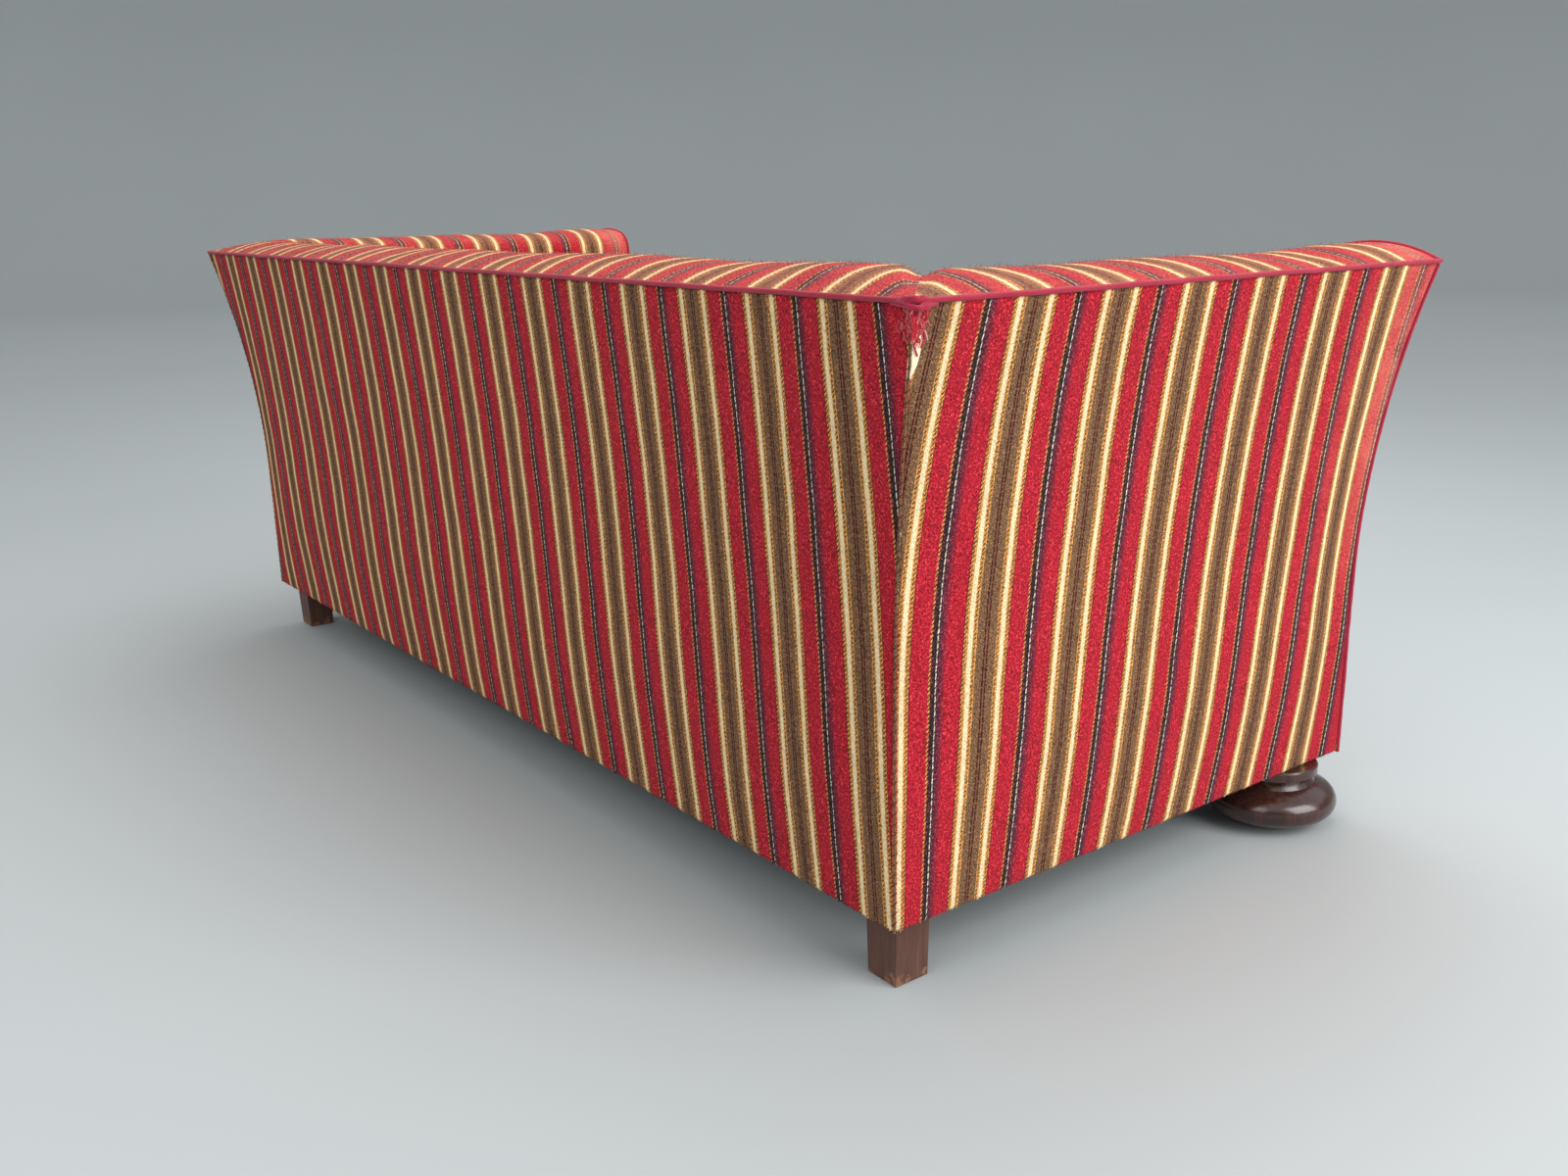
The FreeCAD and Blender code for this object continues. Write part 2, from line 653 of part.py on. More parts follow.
def springs():
    """One spring on every second crossing of the webbing."""
    first = spring()
    coils = []
    for x in WEB_XS[::2]:
        for y in WEB_YS[::2]:
            coil = first.copy()
            coil.translate(V(x, y, 0))
            coils.append(coil)
    return Part.makeCompound(coils)


EDGE_ROLL_REAR = BORDER_REAR + FIT + EDGE_ROLL_DEPTH
STUFFING_LOW = HESSIAN_LOW + HESSIAN + FIT
STUFFING_TOP = DECK_TOP - COVER - FIT


def seat_hessian():
    reach = HALF - POST_IN - FIT
    ends = (EDGE_ROLL_REAR + FIT, REAR - STUFFING_IN)
    return box(-reach, reach, *ends, HESSIAN_LOW, HESSIAN_LOW + HESSIAN)


def edge_roll():
    """Firm stuffed edge on the front rail, rounded along its upper front."""
    front = BORDER_REAR + FIT
    roll = box(-SEAT_HALF, SEAT_HALF, front, EDGE_ROLL_REAR, SEAT_RAIL_TOP, STUFFING_TOP)
    upper = [e for e in roll.Edges if e.BoundBox.YMax < front + FIT and e.BoundBox.ZMin > STUFFING_TOP - FIT]
    return roll.makeFillet(EDGE_ROLL_DEPTH / 3, upper)


def seat_stuffing():
    return box(-SEAT_HALF, SEAT_HALF, EDGE_ROLL_REAR + FIT, SEAT_REAR, STUFFING_LOW, STUFFING_TOP)


def deck_cover():
    return box(-SEAT_HALF, SEAT_HALF, BORDER_REAR + FIT, SEAT_REAR, STUFFING_TOP + FIT, DECK_TOP)


def front_border():
    return box(-SEAT_HALF, SEAT_HALF, FRONT + BORDER_SETBACK, BORDER_REAR, HEM, DECK_TOP)


def dust_cover():
    """Cloth under the seat, notched round the front foot bosses and the rear legs."""
    x = HALF - HEM_TURN - FIT
    front = BORDER_REAR + FIT
    rear = REAR - HEM_TURN - FIT
    room = BUN_SEAT_RADIUS + PIPING_ROOM
    leg = LEG_INSET_TOP + LEG_TOP + FRAME_SETBACK
    half = [(BUN_X - room, front), (BUN_X - room, BUN_Y + room), (x, BUN_Y + room)]
    half += [(x, REAR - leg), (HALF - leg, REAR - leg), (HALF - leg, rear)]
    corners = half + [(-x_place, y_place) for x_place, y_place in reversed(half)]
    return upright_prism(corners, HEM, HEM + DUST_CLOTH)


# Linings and stuffing of arms and back
def arm_hessian():
    section = ARM.band(LINING_IN, LINING_IN + HESSIAN, TACK_RAIL_LOW, TOP_RAIL_TOP)
    return arm_side(arm_prism(section, FRONT + FRAME_IN, REAR_EDGE)).common(before_back(POST_IN + FIT))


def back_hessian():
    section = BACK.band(LINING_IN, LINING_IN + HESSIAN, TACK_RAIL_LOW, TOP_RAIL_TOP)
    return back_prism(section, -SIDE_EDGE, SIDE_EDGE).common(between_arms(POST_IN + FIT))


def arm_stuffing():
    solid = arm_prism(ARM.stuffing_section(), FRONT + COVER + FIT, REAR_EDGE)
    return arm_side(solid).common(before_back(FRAME_IN + FIT)).cut(rear_post_form(FIT))


def back_stuffing():
    solid = back_side(back_prism(BACK.stuffing_section(), -SIDE_EDGE, SIDE_EDGE))
    post = rear_post_form(FIT)
    return solid.common(between_arms(FRAME_IN + FIT)).cut([post, mirrored(post)])


# Covers
def outside_back_cover():
    """Back panel from corner to corner, leaning outward, its hem turned in under the frame."""
    section = BACK.band(0, COVER, HEM, TOP_EDGE - PIPING_ROOM)
    panel = back_prism(section, -SIDE_EDGE, SIDE_EDGE).common(between_arms(0))
    reach = HALF - COVER - FIT
    hem = box(-reach, reach, REAR - HEM_TURN, REAR - COVER / 2, HEM, HEM + COVER)
    return panel.fuse(hem).removeSplitter()


def outside_arm_cover():
    """Arm panel from its piped front edge to the inside of the back panel."""
    section = ARM.band(0, COVER, HEM, TOP_EDGE - PIPING_ROOM)
    panel = arm_prism(section, FRONT + PIPING_ROOM, REAR_EDGE).common(before_back(COVER + FIT))
    ends = (FRONT + PIPING_ROOM, REAR - HEM_TURN - FIT)
    hem = box(HALF - HEM_TURN, HALF - COVER / 2, *ends, HEM, HEM + COVER)
    return panel.fuse(hem).removeSplitter()


def inside_arm_cover():
    strip = ARM.inside_strip(0, COVER, ARM_FLARE - PIPING_ROOM, TUCK)
    return arm_side(arm_prism(strip, FRONT + PIPING_ROOM, REAR_EDGE))


def inside_back_cover():
    strip = BACK.inside_strip(0, COVER, BACK_FLARE - PIPING_ROOM, TUCK)
    return back_side(back_prism(strip, -SIDE_EDGE, SIDE_EDGE))


def arm_facing():
    return arm_prism(ARM.facing_section(), FRONT, FRONT + COVER)


# Piping
def top_piping():
    """One cord along an arm, round both rear corners and along the other arm."""
    front = FRONT - PIPING_RADIUS
    half = [V(SIDE_EDGE, front, TOP_EDGE), V(SIDE_EDGE, REAR_EDGE, TOP_EDGE)]
    points = half + [V(-point.x, point.y, point.z) for point in reversed(half)]
    return cord(rounded_path(points, PIPING_ROOM, False), PIPING_RADIUS)


def facing_piping():
    """Cord up the leaning front edge of an arm, and cord over its top and down inside."""
    ease = 2 * PIPING_RADIUS
    outer = ARM.face_edges(0, HEM, TOP_EDGE - ease)
    inner = ARM.top_edges(0, ARM_FLARE - ease, DECK_TOP + FIT)
    cords = Part.makeCompound([cord(outer, PIPING_RADIUS), cord(inner, PIPING_RADIUS)])
    cords.translate(V(HALF, FRONT, 0))
    return cords


# Loose cushions, side by side between the arms
CUSHION_LOW = DECK_TOP + FIT
CUSHION_EDGE = CUSHION_LOW + CUSHION_BORDER
CUSHION_PITCH = 2 * (HALF + ARM.inner(0, DECK_TOP)) / len(CUSHION_NAMES)
CUSHION_IN = 2 * PIPING_RADIUS + FIT + CUSHION_GAP / 2
CUSHION_FRONT = FRONT + CUSHION_SETBACK + CUSHION_IN
CUSHION_REAR = REAR + BACK.inner(0, DECK_TOP) - CUSHION_IN
CUSHION_HALF = CUSHION_PITCH / 2 - CUSHION_IN


def cushion_dome():
    """Pillowed upper face with straight edges, level with the boxed sides."""
    dome = Part.BezierSurface()
    dome.increase(3, 3)
    middle_weight = (3 / 4) ** 2
    for column in range(4):
        for row in range(4):
            x = CUSHION_HALF * (2 * column / 3 - 1)
            y = CUSHION_FRONT + (CUSHION_REAR - CUSHION_FRONT) * row / 3
            raised = column in (1, 2) and row in (1, 2)
            lift = CUSHION_CROWN / middle_weight if raised else 0
            dome.setPole(column + 1, row + 1, V(x, y, CUSHION_EDGE + lift))
    return dome.toShape()


def cushion_block(inset, low, high):
    """Plain block inside the boxed sides."""
    reach = CUSHION_HALF - inset
    return box(-reach, reach, CUSHION_FRONT + inset, CUSHION_REAR - inset, low, high)


def cushion_cover():
    """Upper panel, boxed sides and lower panel."""
    upper = cushion_dome().extrude(V(0, 0, -COVER))
    sides = (CUSHION_LOW + COVER, CUSHION_EDGE - COVER)
    boxing = cushion_block(0, *sides).cut(cushion_block(COVER, *sides))
    lower = cushion_block(0, CUSHION_LOW, CUSHION_LOW + COVER)
    return Part.makeCompound([upper, boxing, lower])


def cushion_filling():
    inset = COVER + FIT
    top = cushion_dome()
    top.translate(V(0, 0, -inset))
    body = top.extrude(V(0, 0, -CUSHION_BORDER))
    return body.common(cushion_block(inset, CUSHION_LOW + inset, CUSHION_EDGE + 2 * CUSHION_CROWN))


def cushion_piping():
    """Cord round the upper and the lower edge of the boxed sides."""
    out = PIPING_RADIUS + FIT
    x = CUSHION_HALF + out
    front = CUSHION_FRONT - out
    rear = CUSHION_REAR + out
    loops = []
    for up in (CUSHION_LOW + PIPING_RADIUS, CUSHION_EDGE):
        points = [V(-x, front, up), V(x, front, up), V(x, rear, up), V(-x, rear, up)]
        loops.append(cord(rounded_path(points, out, True), PIPING_RADIUS))
    return Part.makeCompound(loops)


def placed(shape, index):
    """Copy of a cushion piece at its own seat."""
    copy = shape.copy()
    copy.translate(V((index - (len(CUSHION_NAMES) - 1) / 2) * CUSHION_PITCH, 0, 0))
    return copy


def all_nodes():
    """Every named piece with its shape."""
    nodes = {
        "front_seat_rail": front_rail(),
        "rear_seat_rail": back_rail(FRAME_LOW, SEAT_RAIL_TOP),
        "seat_cross_rails": cross_rails(),
        "back_tacking_rail": back_rail(TACK_RAIL_LOW, TACK_RAIL_TOP),
        "back_top_rail": back_rail(TOP_RAIL_LOW, TOP_RAIL_TOP),
        "back_stiles": back_stiles(),
        "arm_stiles": pair(arm_stile()),
        "arm_tacking_rails": pair(arm_rail(TACK_RAIL_LOW, TACK_RAIL_TOP)),
        "foot_blocks": pair(foot_block()),
        "foot_block_screws": pair(Part.makeCompound(SCREWS)),
        "frame_dowels": pair(Part.makeCompound(DOWELS)),
        "front_foot_bolts": pair(foot_bolt()),
        "rear_leg_dowels": pair(leg_dowel(0)),
        "seat_webbing_lengthwise": webbing_lengthwise(),
        "seat_webbing_crosswise": webbing_crosswise(),
        "seat_springs": springs(),
        "seat_hessian": seat_hessian(),
        "seat_stuffing": seat_stuffing(),
        "front_edge_roll": edge_roll(),
        "seat_deck_cover": deck_cover(),
        "front_border": front_border(),
        "dust_cover": dust_cover(),
        "arm_hessians": pair(arm_hessian()),
        "back_hessian": back_hessian(),
        "back_stuffing": back_stuffing(),
        "outside_back_cover": outside_back_cover(),
        "inside_back_cover": inside_back_cover(),
        "top_piping": top_piping(),
    }
    sided = {
        "seat_rail": arm_rail(FRAME_LOW, SEAT_RAIL_TOP),
        "front_post": front_post(),
        "rear_post": rear_post(),
        "arm_top_rail": arm_rail(TOP_RAIL_LOW, TOP_RAIL_TOP),
        "bun_foot": bun_foot(),
        "rear_leg": rear_leg(),
        "arm_stuffing": arm_stuffing(),
        "outside_arm_cover": outside_arm_cover(),
        "inside_arm_cover": inside_arm_cover(),
        "arm_facing": arm_facing(),
        "facing_piping": facing_piping(),
    }
    for name, shape in sided.items():
        nodes["right_" + name] = shape
        nodes["left_" + name] = mirrored(shape)
    cushion = {"cover": cushion_cover(), "filling": cushion_filling(), "piping": cushion_piping()}
    for index, seat in enumerate(CUSHION_NAMES):
        for name, shape in cushion.items():
            nodes[seat + "_cushion_" + name] = placed(shape, index)
    return nodes


os.makedirs("parts", exist_ok=True)
for node, shape in all_nodes().items():
    shape.exportStep("parts/" + node + ".step")
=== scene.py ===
import math
import random

import bmesh
import bpy
from bpy.props import FloatProperty, FloatVectorProperty, PointerProperty
from mathutils import Matrix, Vector, noise


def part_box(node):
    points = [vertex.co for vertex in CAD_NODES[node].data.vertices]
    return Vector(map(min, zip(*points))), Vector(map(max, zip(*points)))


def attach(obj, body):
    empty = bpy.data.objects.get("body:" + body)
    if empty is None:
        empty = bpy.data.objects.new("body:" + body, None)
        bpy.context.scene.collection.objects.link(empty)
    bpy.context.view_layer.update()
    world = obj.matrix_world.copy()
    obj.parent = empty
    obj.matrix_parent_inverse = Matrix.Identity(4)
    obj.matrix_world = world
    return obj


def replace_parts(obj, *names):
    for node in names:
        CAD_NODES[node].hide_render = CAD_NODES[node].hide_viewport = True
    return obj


bl_info = {
    "name": "Flared striped sofa",
    "version": (1, 0, 0),
    "blender": (4, 5, 0),
    "location": "View3D > Sidebar > Sofa",
    "description": "Dresses the sofa's frame in striped cloth, piping, cushions and polished feet",
    "category": "Object",
}

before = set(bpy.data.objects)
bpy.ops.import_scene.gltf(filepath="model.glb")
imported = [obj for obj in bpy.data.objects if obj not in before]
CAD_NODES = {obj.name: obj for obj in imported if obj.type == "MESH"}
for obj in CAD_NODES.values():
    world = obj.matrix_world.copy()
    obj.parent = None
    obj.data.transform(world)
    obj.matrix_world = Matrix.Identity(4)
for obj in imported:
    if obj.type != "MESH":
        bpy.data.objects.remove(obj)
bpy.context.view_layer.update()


def corners(node):
    """Lowest and highest corner of a node of the frame."""
    low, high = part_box(node)
    return Vector(low), Vector(high)


# Places read from the frame, in metres. The left arm is the one at -X.
CORD_LOW, CORD_HIGH = corners("top_piping")
CORD_RADIUS = (CORD_HIGH.z - CORD_LOW.z) / 2
TOP_EDGE = (CORD_HIGH.z + CORD_LOW.z) / 2
SIDE_EDGE = CORD_HIGH.x - CORD_RADIUS
REAR_EDGE = CORD_HIGH.y - CORD_RADIUS
FRONT = CORD_LOW.y + CORD_RADIUS
HEM = corners("outside_back_cover")[0].z
TUCK = corners("inside_back_cover")[0].z
DECK_LOW, DECK_HIGH = corners("seat_deck_cover")
BORDER_LOW, BORDER_HIGH = corners("front_border")
DUST_LOW, DUST_HIGH = corners("dust_cover")
RAIL_TOP = corners("back_top_rail")[1].z
SIDES = {"left": -1, "right": 1}
SEATS = ("left", "centre", "right")

CLOTH = "cloth"  # name of the UV map: metres across and along the stripes
CLOTH_THICKNESS = 0.0016
CORD_SEEN = 0.0028  # radius of the cord that stands out of the seams
HEM_ROUND = 0.004  # radius of the cloth where it turns under
HEM_TURN = 0.015  # cloth turned in below the hem
SHARP = math.radians(50)  # edges that stay crisp
FINE_WELD = 1e-5
UP = Vector((0, 0, 1))
TOWARDS_FRONT = Vector((0, -1, 0))
TOWARDS_REAR = Vector((0, 1, 0))


def linear(red, green, blue):
    """Scene-linear colour of a screen colour from 0 to 255."""
    def channel(value):
        value /= 255
        return value / 12.92 if value <= 0.04045 else ((value + 0.055) / 1.055) ** 2.4
    return tuple(channel(value) for value in (red, green, blue))


# Settings that a user would change
def length(name, description, default):
    return FloatProperty(name=name, description=description, default=default,
                         unit="LENGTH", precision=4)


def turn(name, description, degrees):
    return FloatProperty(name=name, description=description, default=math.radians(degrees),
                         subtype="ANGLE")


def tint(name, description, *screen):
    return FloatVectorProperty(name=name, description=description, default=linear(*screen),
                               subtype="COLOR", size=3, min=0, max=1)


class SofaShape(bpy.types.PropertyGroup):
    """Sizes of the upholstery that the frame's boxes don't give."""
    arm_flare: length("Arm flare", "Lean of each arm at its piped top edge", 0.076)
    back_flare: length("Back flare", "Lean of the back at its piped top edge", 0.046)
    flare_start: length("Flare start", "Height where the lean begins", 0.302)
    crown: length("Crown", "Rise of the padded top over its piped edge", 0.020)
    crown_reach: length("Crown reach", "From the piped edge in to the highest line", 0.085)
    roll_radius: length("Roll radius", "Radius of the inner edge of the top", 0.038)
    roll_turn: turn("Roll turn", "Slope of the top where the inner roll begins", 15)
    arm_slope: turn("Arm slope", "Lean of the inside arm from upright", 5)
    back_slope: turn("Back slope", "Rake of the inside back from upright", 10)
    post_depth: length("Post depth", "From the outside cover in to the padding", 0.049)
    cushion_swell: length("Cushion swell", "Most that a cushion panel may swell", 0.024)


class SofaCloth(bpy.types.PropertyGroup):
    """The striped cloth and its cord."""
    repeat: length("Repeat", "Width of one repeat of the stripes", 0.1185)
    back_start: length("Back start", "Place along the back of a brown stripe's middle", -0.888)
    back_repeat: length("Back repeat", "Repeat of the stripes as pulled on over the back", 0.117)
    back_bow: length("Back bow", "Shift of the stripes along the back at half height", 0.0105)
    arm_start: length("Arm start", "Place along the left arm of a brown stripe's middle", 0.3834)
    arm_repeat: length("Arm repeat", "Repeat of the stripes as pulled on over an arm", 0.1191)
    arm_bow: length("Arm bow", "Shift of the stripes along an arm at half height", 0.0095)
    red: tint("Red", "Broad red stripe", 183, 26, 45)
    brown: tint("Brown", "Broad brown stripe", 119, 85, 58)
    cream: tint("Cream", "Narrow cream stripe", 252, 227, 180)
    ochre: tint("Ochre", "Yarns beside the cream stripe", 216, 150, 80)
    black: tint("Black", "Dark stripe in the red", 46, 31, 33)
    plum: tint("Plum", "Shadow stripe beside the black", 92, 34, 52)
    edge: tint("Edge", "Thin dark red outline of a stripe", 78, 18, 22)
    green: tint("Green", "Dotted yarn in the ochre", 84, 72, 44)
    white: tint("White", "Twisted dashes on the black", 224, 212, 194)
    umber: tint("Umber", "Dark turns of the ochre yarns", 112, 58, 34)
    tan: tint("Tan", "Pale flecks in the brown", 168, 128, 92)
    faded: tint("Faded", "Fibres bleached on the tops", 226, 128, 110)
    glint: tint("Glint", "Bright loops in the red", 226, 84, 88)
    cord: tint("Cord", "Crimson piping", 166, 24, 54)


class SofaWood(bpy.types.PropertyGroup):
    """Timber, hidden cloths and metal."""
    foot_dark: tint("Foot dark", "Grain of the dark feet", 38, 21, 17)
    foot_light: tint("Foot light", "Ground of the dark feet", 70, 38, 30)
    foot_worn: tint("Foot worn", "Bare wood at a worn edge", 150, 104, 78)
    leg_dark: tint("Leg dark", "Grain of the square legs", 82, 54, 45)
    leg_light: tint("Leg light", "Ground of the square legs", 102, 70, 58)
    beech: tint("Beech", "Plain timber of the frame", 200, 160, 112)
    jute: tint("Jute", "Webbing and hessian", 158, 126, 84)
    felt: tint("Felt", "Stuffing and cushion filling", 222, 212, 190)
    lining: tint("Lining", "Dust cover under the seat", 46, 43, 41)
    deck: tint("Deck", "Platform cloth under the cushions", 122, 52, 46)
    steel: tint("Steel", "Springs and screws", 150, 146, 140)


class SofaStage(bpy.types.PropertyGroup):
    """Camera and floor."""
    focal: FloatProperty(name="Focal", description="Focal length on a 36 mm sensor",
                         default=33.35, unit="CAMERA")
    eye: FloatVectorProperty(name="Eye", description="Place of the camera", size=3,
                             default=(-1.9249, 1.2586, 0.8159), subtype="TRANSLATION")
    heading: FloatProperty(name="Heading", description="Direction of view from +X",
                           default=-0.64554, subtype="ANGLE")
    dip: FloatProperty(name="Dip", description="Angle of view below level",
                       default=0.26582, subtype="ANGLE")
    lean: FloatProperty(name="Lean", description="Roll of the camera",
                        default=-0.01804, subtype="ANGLE")
    floor: tint("Floor", "Pale studio floor", 172, 177, 178)


def shape():
    return bpy.context.scene.sofa_shape


def cloth():
    return bpy.context.scene.sofa_cloth


def wood():
    return bpy.context.scene.sofa_wood


# Materials
class Value:
    """Output of a node, so that sums of outputs read as plain formulas."""

    def __init__(self, net, socket):
        self.net = net
        self.socket = socket

    def __add__(self, other):
        return self.net.math("ADD", self, other)

    def __sub__(self, other):
        return self.net.math("SUBTRACT", self, other)

    def __rsub__(self, other):
        return self.net.math("SUBTRACT", other, self)

    def __mul__(self, other):
        return self.net.math("MULTIPLY", self, other)

    def __truediv__(self, other):
        return self.net.math("DIVIDE", self, other)

    __radd__ = __add__
    __rmul__ = __mul__

    def above(self, limit):
        return self.net.math("GREATER_THAN", self, limit)

    def below(self, limit):
        return self.net.math("LESS_THAN", self, limit)

    def between(self, low, high):
        return self.above(low) * self.below(high)

    def fraction(self):
        return self.net.math("FRACT", self)

    def size(self):
        return self.net.math("ABSOLUTE", self)

    def held(self):
        """The value kept between 0 and 1."""
        return self.net.add("ShaderNodeClamp", {}, {"Value": self})

    def spread(self, low, high):
        """0 below low, 1 above high, and a smooth step between."""
        inputs = {"Value": self, "From Min": low, "From Max": high}
        return self.net.add("ShaderNodeMapRange", {"interpolation_type": "SMOOTHSTEP"}, inputs)


class Net:
    """Node tree of one material."""

    def __init__(self, name):
        self.material = bpy.data.materials.new(name)
        self.material.use_nodes = True
        self.tree = self.material.node_tree
        self.tree.nodes.clear()

    def add(self, kind, settings, inputs, output=0):
        """Node of any type with its settings and inputs; gives one of its outputs."""
        node = self.tree.nodes.new(kind)
        for name, setting in settings.items():
            setattr(node, name, setting)
        for key, value in inputs.items():
            self.feed(node.inputs[key], value)
        return Value(self, node.outputs[output])

    def feed(self, socket, value):
        if isinstance(value, Value):
            self.tree.links.new(value.socket, socket)
        elif socket.type == "RGBA" and len(value) == 3:
            socket.default_value = (*value, 1)
        else:
            socket.default_value = value

    def math(self, operation, *values):
        return self.add("ShaderNodeMath", {"operation": operation}, dict(enumerate(values)))

    def mix(self, factor, first, second):
        """Colour between two colours."""
        inputs = {0: factor, 6: first, 7: second}
        return self.add("ShaderNodeMix", {"data_type": "RGBA"}, inputs, 2)

    def shade(self, colour, factor):
        """Colour made lighter or darker by a number around 1."""
        grey = self.add("ShaderNodeCombineXYZ", {}, {0: factor, 1: factor, 2: factor})
        inputs = {0: 1.0, 6: colour, 7: grey}
        return self.add("ShaderNodeMix", {"data_type": "RGBA", "blend_type": "MULTIPLY"}, inputs, 2)

    def split(self, vector):
        return [self.add("ShaderNodeSeparateXYZ", {}, {0: vector}, index) for index in range(3)]

    def joined(self, x, y, z=0.0):
        return self.add("ShaderNodeCombineXYZ", {}, {0: x, 1: y, 2: z})

    def place(self):
        return self.add("ShaderNodeTexCoord", {}, {}, "Object")

    def cloth_place(self):
        return self.add("ShaderNodeUVMap", {"uv_map": CLOTH}, {})

    def normal(self):
        return self.add("ShaderNodeNewGeometry", {}, {}, "Normal")

    def noise(self, vector, scale, detail=2.0, roughness=0.5):
        inputs = {"Vector": vector, "Scale": scale, "Detail": detail, "Roughness": roughness}
        return self.add("ShaderNodeTexNoise", {}, inputs)

    def stretched(self, vector, x, y, z):
        """Coordinates with each direction scaled by itself."""
        inputs = {0: vector, 1: (x, y, z)}
        return self.add("ShaderNodeVectorMath", {"operation": "MULTIPLY"}, inputs)

    def ramp(self, factor, stops, interpolation="LINEAR"):
        value = self.add("ShaderNodeValToRGB", {}, {0: factor})
        band = value.socket.node.color_ramp
        band.interpolation = interpolation
        while len(band.elements) < len(stops):
            band.elements.new(1)
        for element, (position, colour) in zip(band.elements, stops):
            element.position = position
            element.color = (*colour, 1)
        return value

    def bump(self, height, distance, strength=1.0):
        inputs = {"Height": height, "Distance": distance, "Strength": strength}
        return self.add("ShaderNodeBump", {}, inputs)

    def finish(self, **inputs):
        """Surface shader with its inputs, joined to the output."""
        named = {key.replace("_", " ").title().replace("Ior", "IOR"): value
                 for key, value in inputs.items()}
        surface = self.add("ShaderNodeBsdfPrincipled", {}, named)
        output = self.tree.nodes.new("ShaderNodeOutputMaterial")
        self.tree.links.new(surface.socket, output.inputs["Surface"])
        return self.material


FINISHES = {}


def finish_of(name, make, *settings):
    """Material of that name, made the first time that it is asked for."""
    if name not in FINISHES:
        FINISHES[name] = make(name, *settings)
    return FINISHES[name]


# Stripes of one repeat: each colour and where it begins, in shares of the repeat
STRIPES = (("brown", 0), ("ochre", 0.102), ("cream", 0.147), ("ochre", 0.194), ("edge", 0.235),
           ("red", 0.243), ("edge", 0.428), ("black", 0.454), ("plum", 0.519), ("red", 0.548),
           ("edge", 0.757), ("ochre", 0.765), ("cream", 0.806), ("ochre", 0.853), ("brown", 0.898))
# Twisted yarns: colour, edges of the band, pitch in metres, share of the pitch, slant.
# Paired yarns lie on both sides of the repeat's middle, and their bands are measured from it.
PAIRED_YARNS = (("edge", 0.476, 0.492, 0.008, 0.86, 0.0), ("green", 0.366, 0.386, 0.005, 0.5, 1.0),
                ("umber", 0.266, 0.292, 0.005, 0.44, 1.0))
SINGLE_YARNS = (("ochre", 0.430, 0.450, 0.005, 0.6, 1.0), ("white", 0.500, 0.511, 0.008, 0.76, 1.4))
PLUM_SHADE = (0.548, 0.62)
WHITE_RIB = (0.494, 0.515)
RED_BAND = (0.02, 0.256)  # this and the next bands are measured from the repeat's middle
CREAM_BAND = (0.306, 0.353)
CREAM_RIB = (0.303, 0.357)
BROWN_BAND = (0.40, 0.475)
SUNNED_REACH = 0.16  # bleached length of an arm from its front
SUNNED_HEIGHTS = (0.2, 0.6)


def striped_cloth(name, fading):
    """Woven wool with a repeat of red, brown, cream, ochre and black stripes."""
    net = Net(name)
    wool = cloth()
    place = net.place()
    across, along, _ = net.split(net.cloth_place())
    drift = net.noise(net.joined(across * 2, along * 5), 1.0, 1.0) - 0.5
    yarn = net.noise(place, 420, 1.0) - 0.5
    moved = across + drift * 0.003 + yarn * 0.0018
    stripe = (moved / wool.repeat).fraction()
    middle = (stripe - 0.5).size()
    stops = [(start, getattr(wool, tone)) for tone, start in STRIPES]
    colour = net.ramp(stripe, stops, "CONSTANT")

    def dashes(pitch, share, slant):
        return ((along + moved * slant) / pitch).fraction().below(share)

    loops = net.noise(place, 430, 2.0, 0.6) - 0.5
    fine = net.noise(place, 800, 1.0) - 0.5
    patches = net.noise(place, 24, 3.0, 0.6) - 0.5
    shadow = stripe.between(*PLUM_SHADE) * (1 - stripe.spread(*PLUM_SHADE)) * (0.9 + loops * 3)
    colour = net.mix(shadow.held(), colour, wool.plum)
    for bands, yarns in ((middle, PAIRED_YARNS), (stripe, SINGLE_YARNS)):
        for tone, low, high, *twist in yarns:
            colour = net.mix(bands.between(low, high) * dashes(*twist), colour, getattr(wool, tone))
    flecks = middle.between(*BROWN_BAND) * fine.spread(0.02, 0.2) * 0.6
    colour = net.mix(flecks, colour, wool.tan)
    glints = middle.between(*RED_BAND) * loops.spread(0.04, 0.2) * 0.45
    colour = net.mix(glints, colour, wool.glint)
    plain = 1 - middle.between(*CREAM_BAND) * 0.65
    _, front, up = net.split(place)
    sunned = (1 - front.spread(FRONT, FRONT + SUNNED_REACH)) * up.spread(*SUNNED_HEIGHTS)
    speckle = (loops * 2.6 + fine * 1.6) * plain
    colour = net.shade(colour, 0.92 + speckle + patches * 0.3 + sunned * 0.16)
    _, _, upward = net.split(net.normal())
    worn = upward.spread(0.2, 0.95) * fading * (1 + loops * 2 + patches * 2)
    colour = net.mix(worn.held(), colour, wool.faded)
    bleached = sunned * middle.below(RED_BAND[1]) * (0.4 + loops + patches)
    colour = net.mix(bleached.held(), colour, wool.faded)
    ribs = (middle.between(*CREAM_RIB) + stripe.between(*WHITE_RIB)) * 0.3
    height = loops * 1.7 + fine + ribs * (0.6 + dashes(0.0046, 0.5, 0.6) * 0.4)
    return net.finish(base_color=colour, roughness=0.95, sheen_weight=0.05, sheen_roughness=0.5,
                      specular_ior_level=0.1, normal=net.bump(height, 0.0016, 0.9))


TOP_FADING = 0.16  # share of bleached fibres on faces that look up


def outer_stripes():
    return finish_of("striped_wool", striped_cloth, 0.0)


def worn_stripes():
    return finish_of("striped_wool_worn", striped_cloth, TOP_FADING)


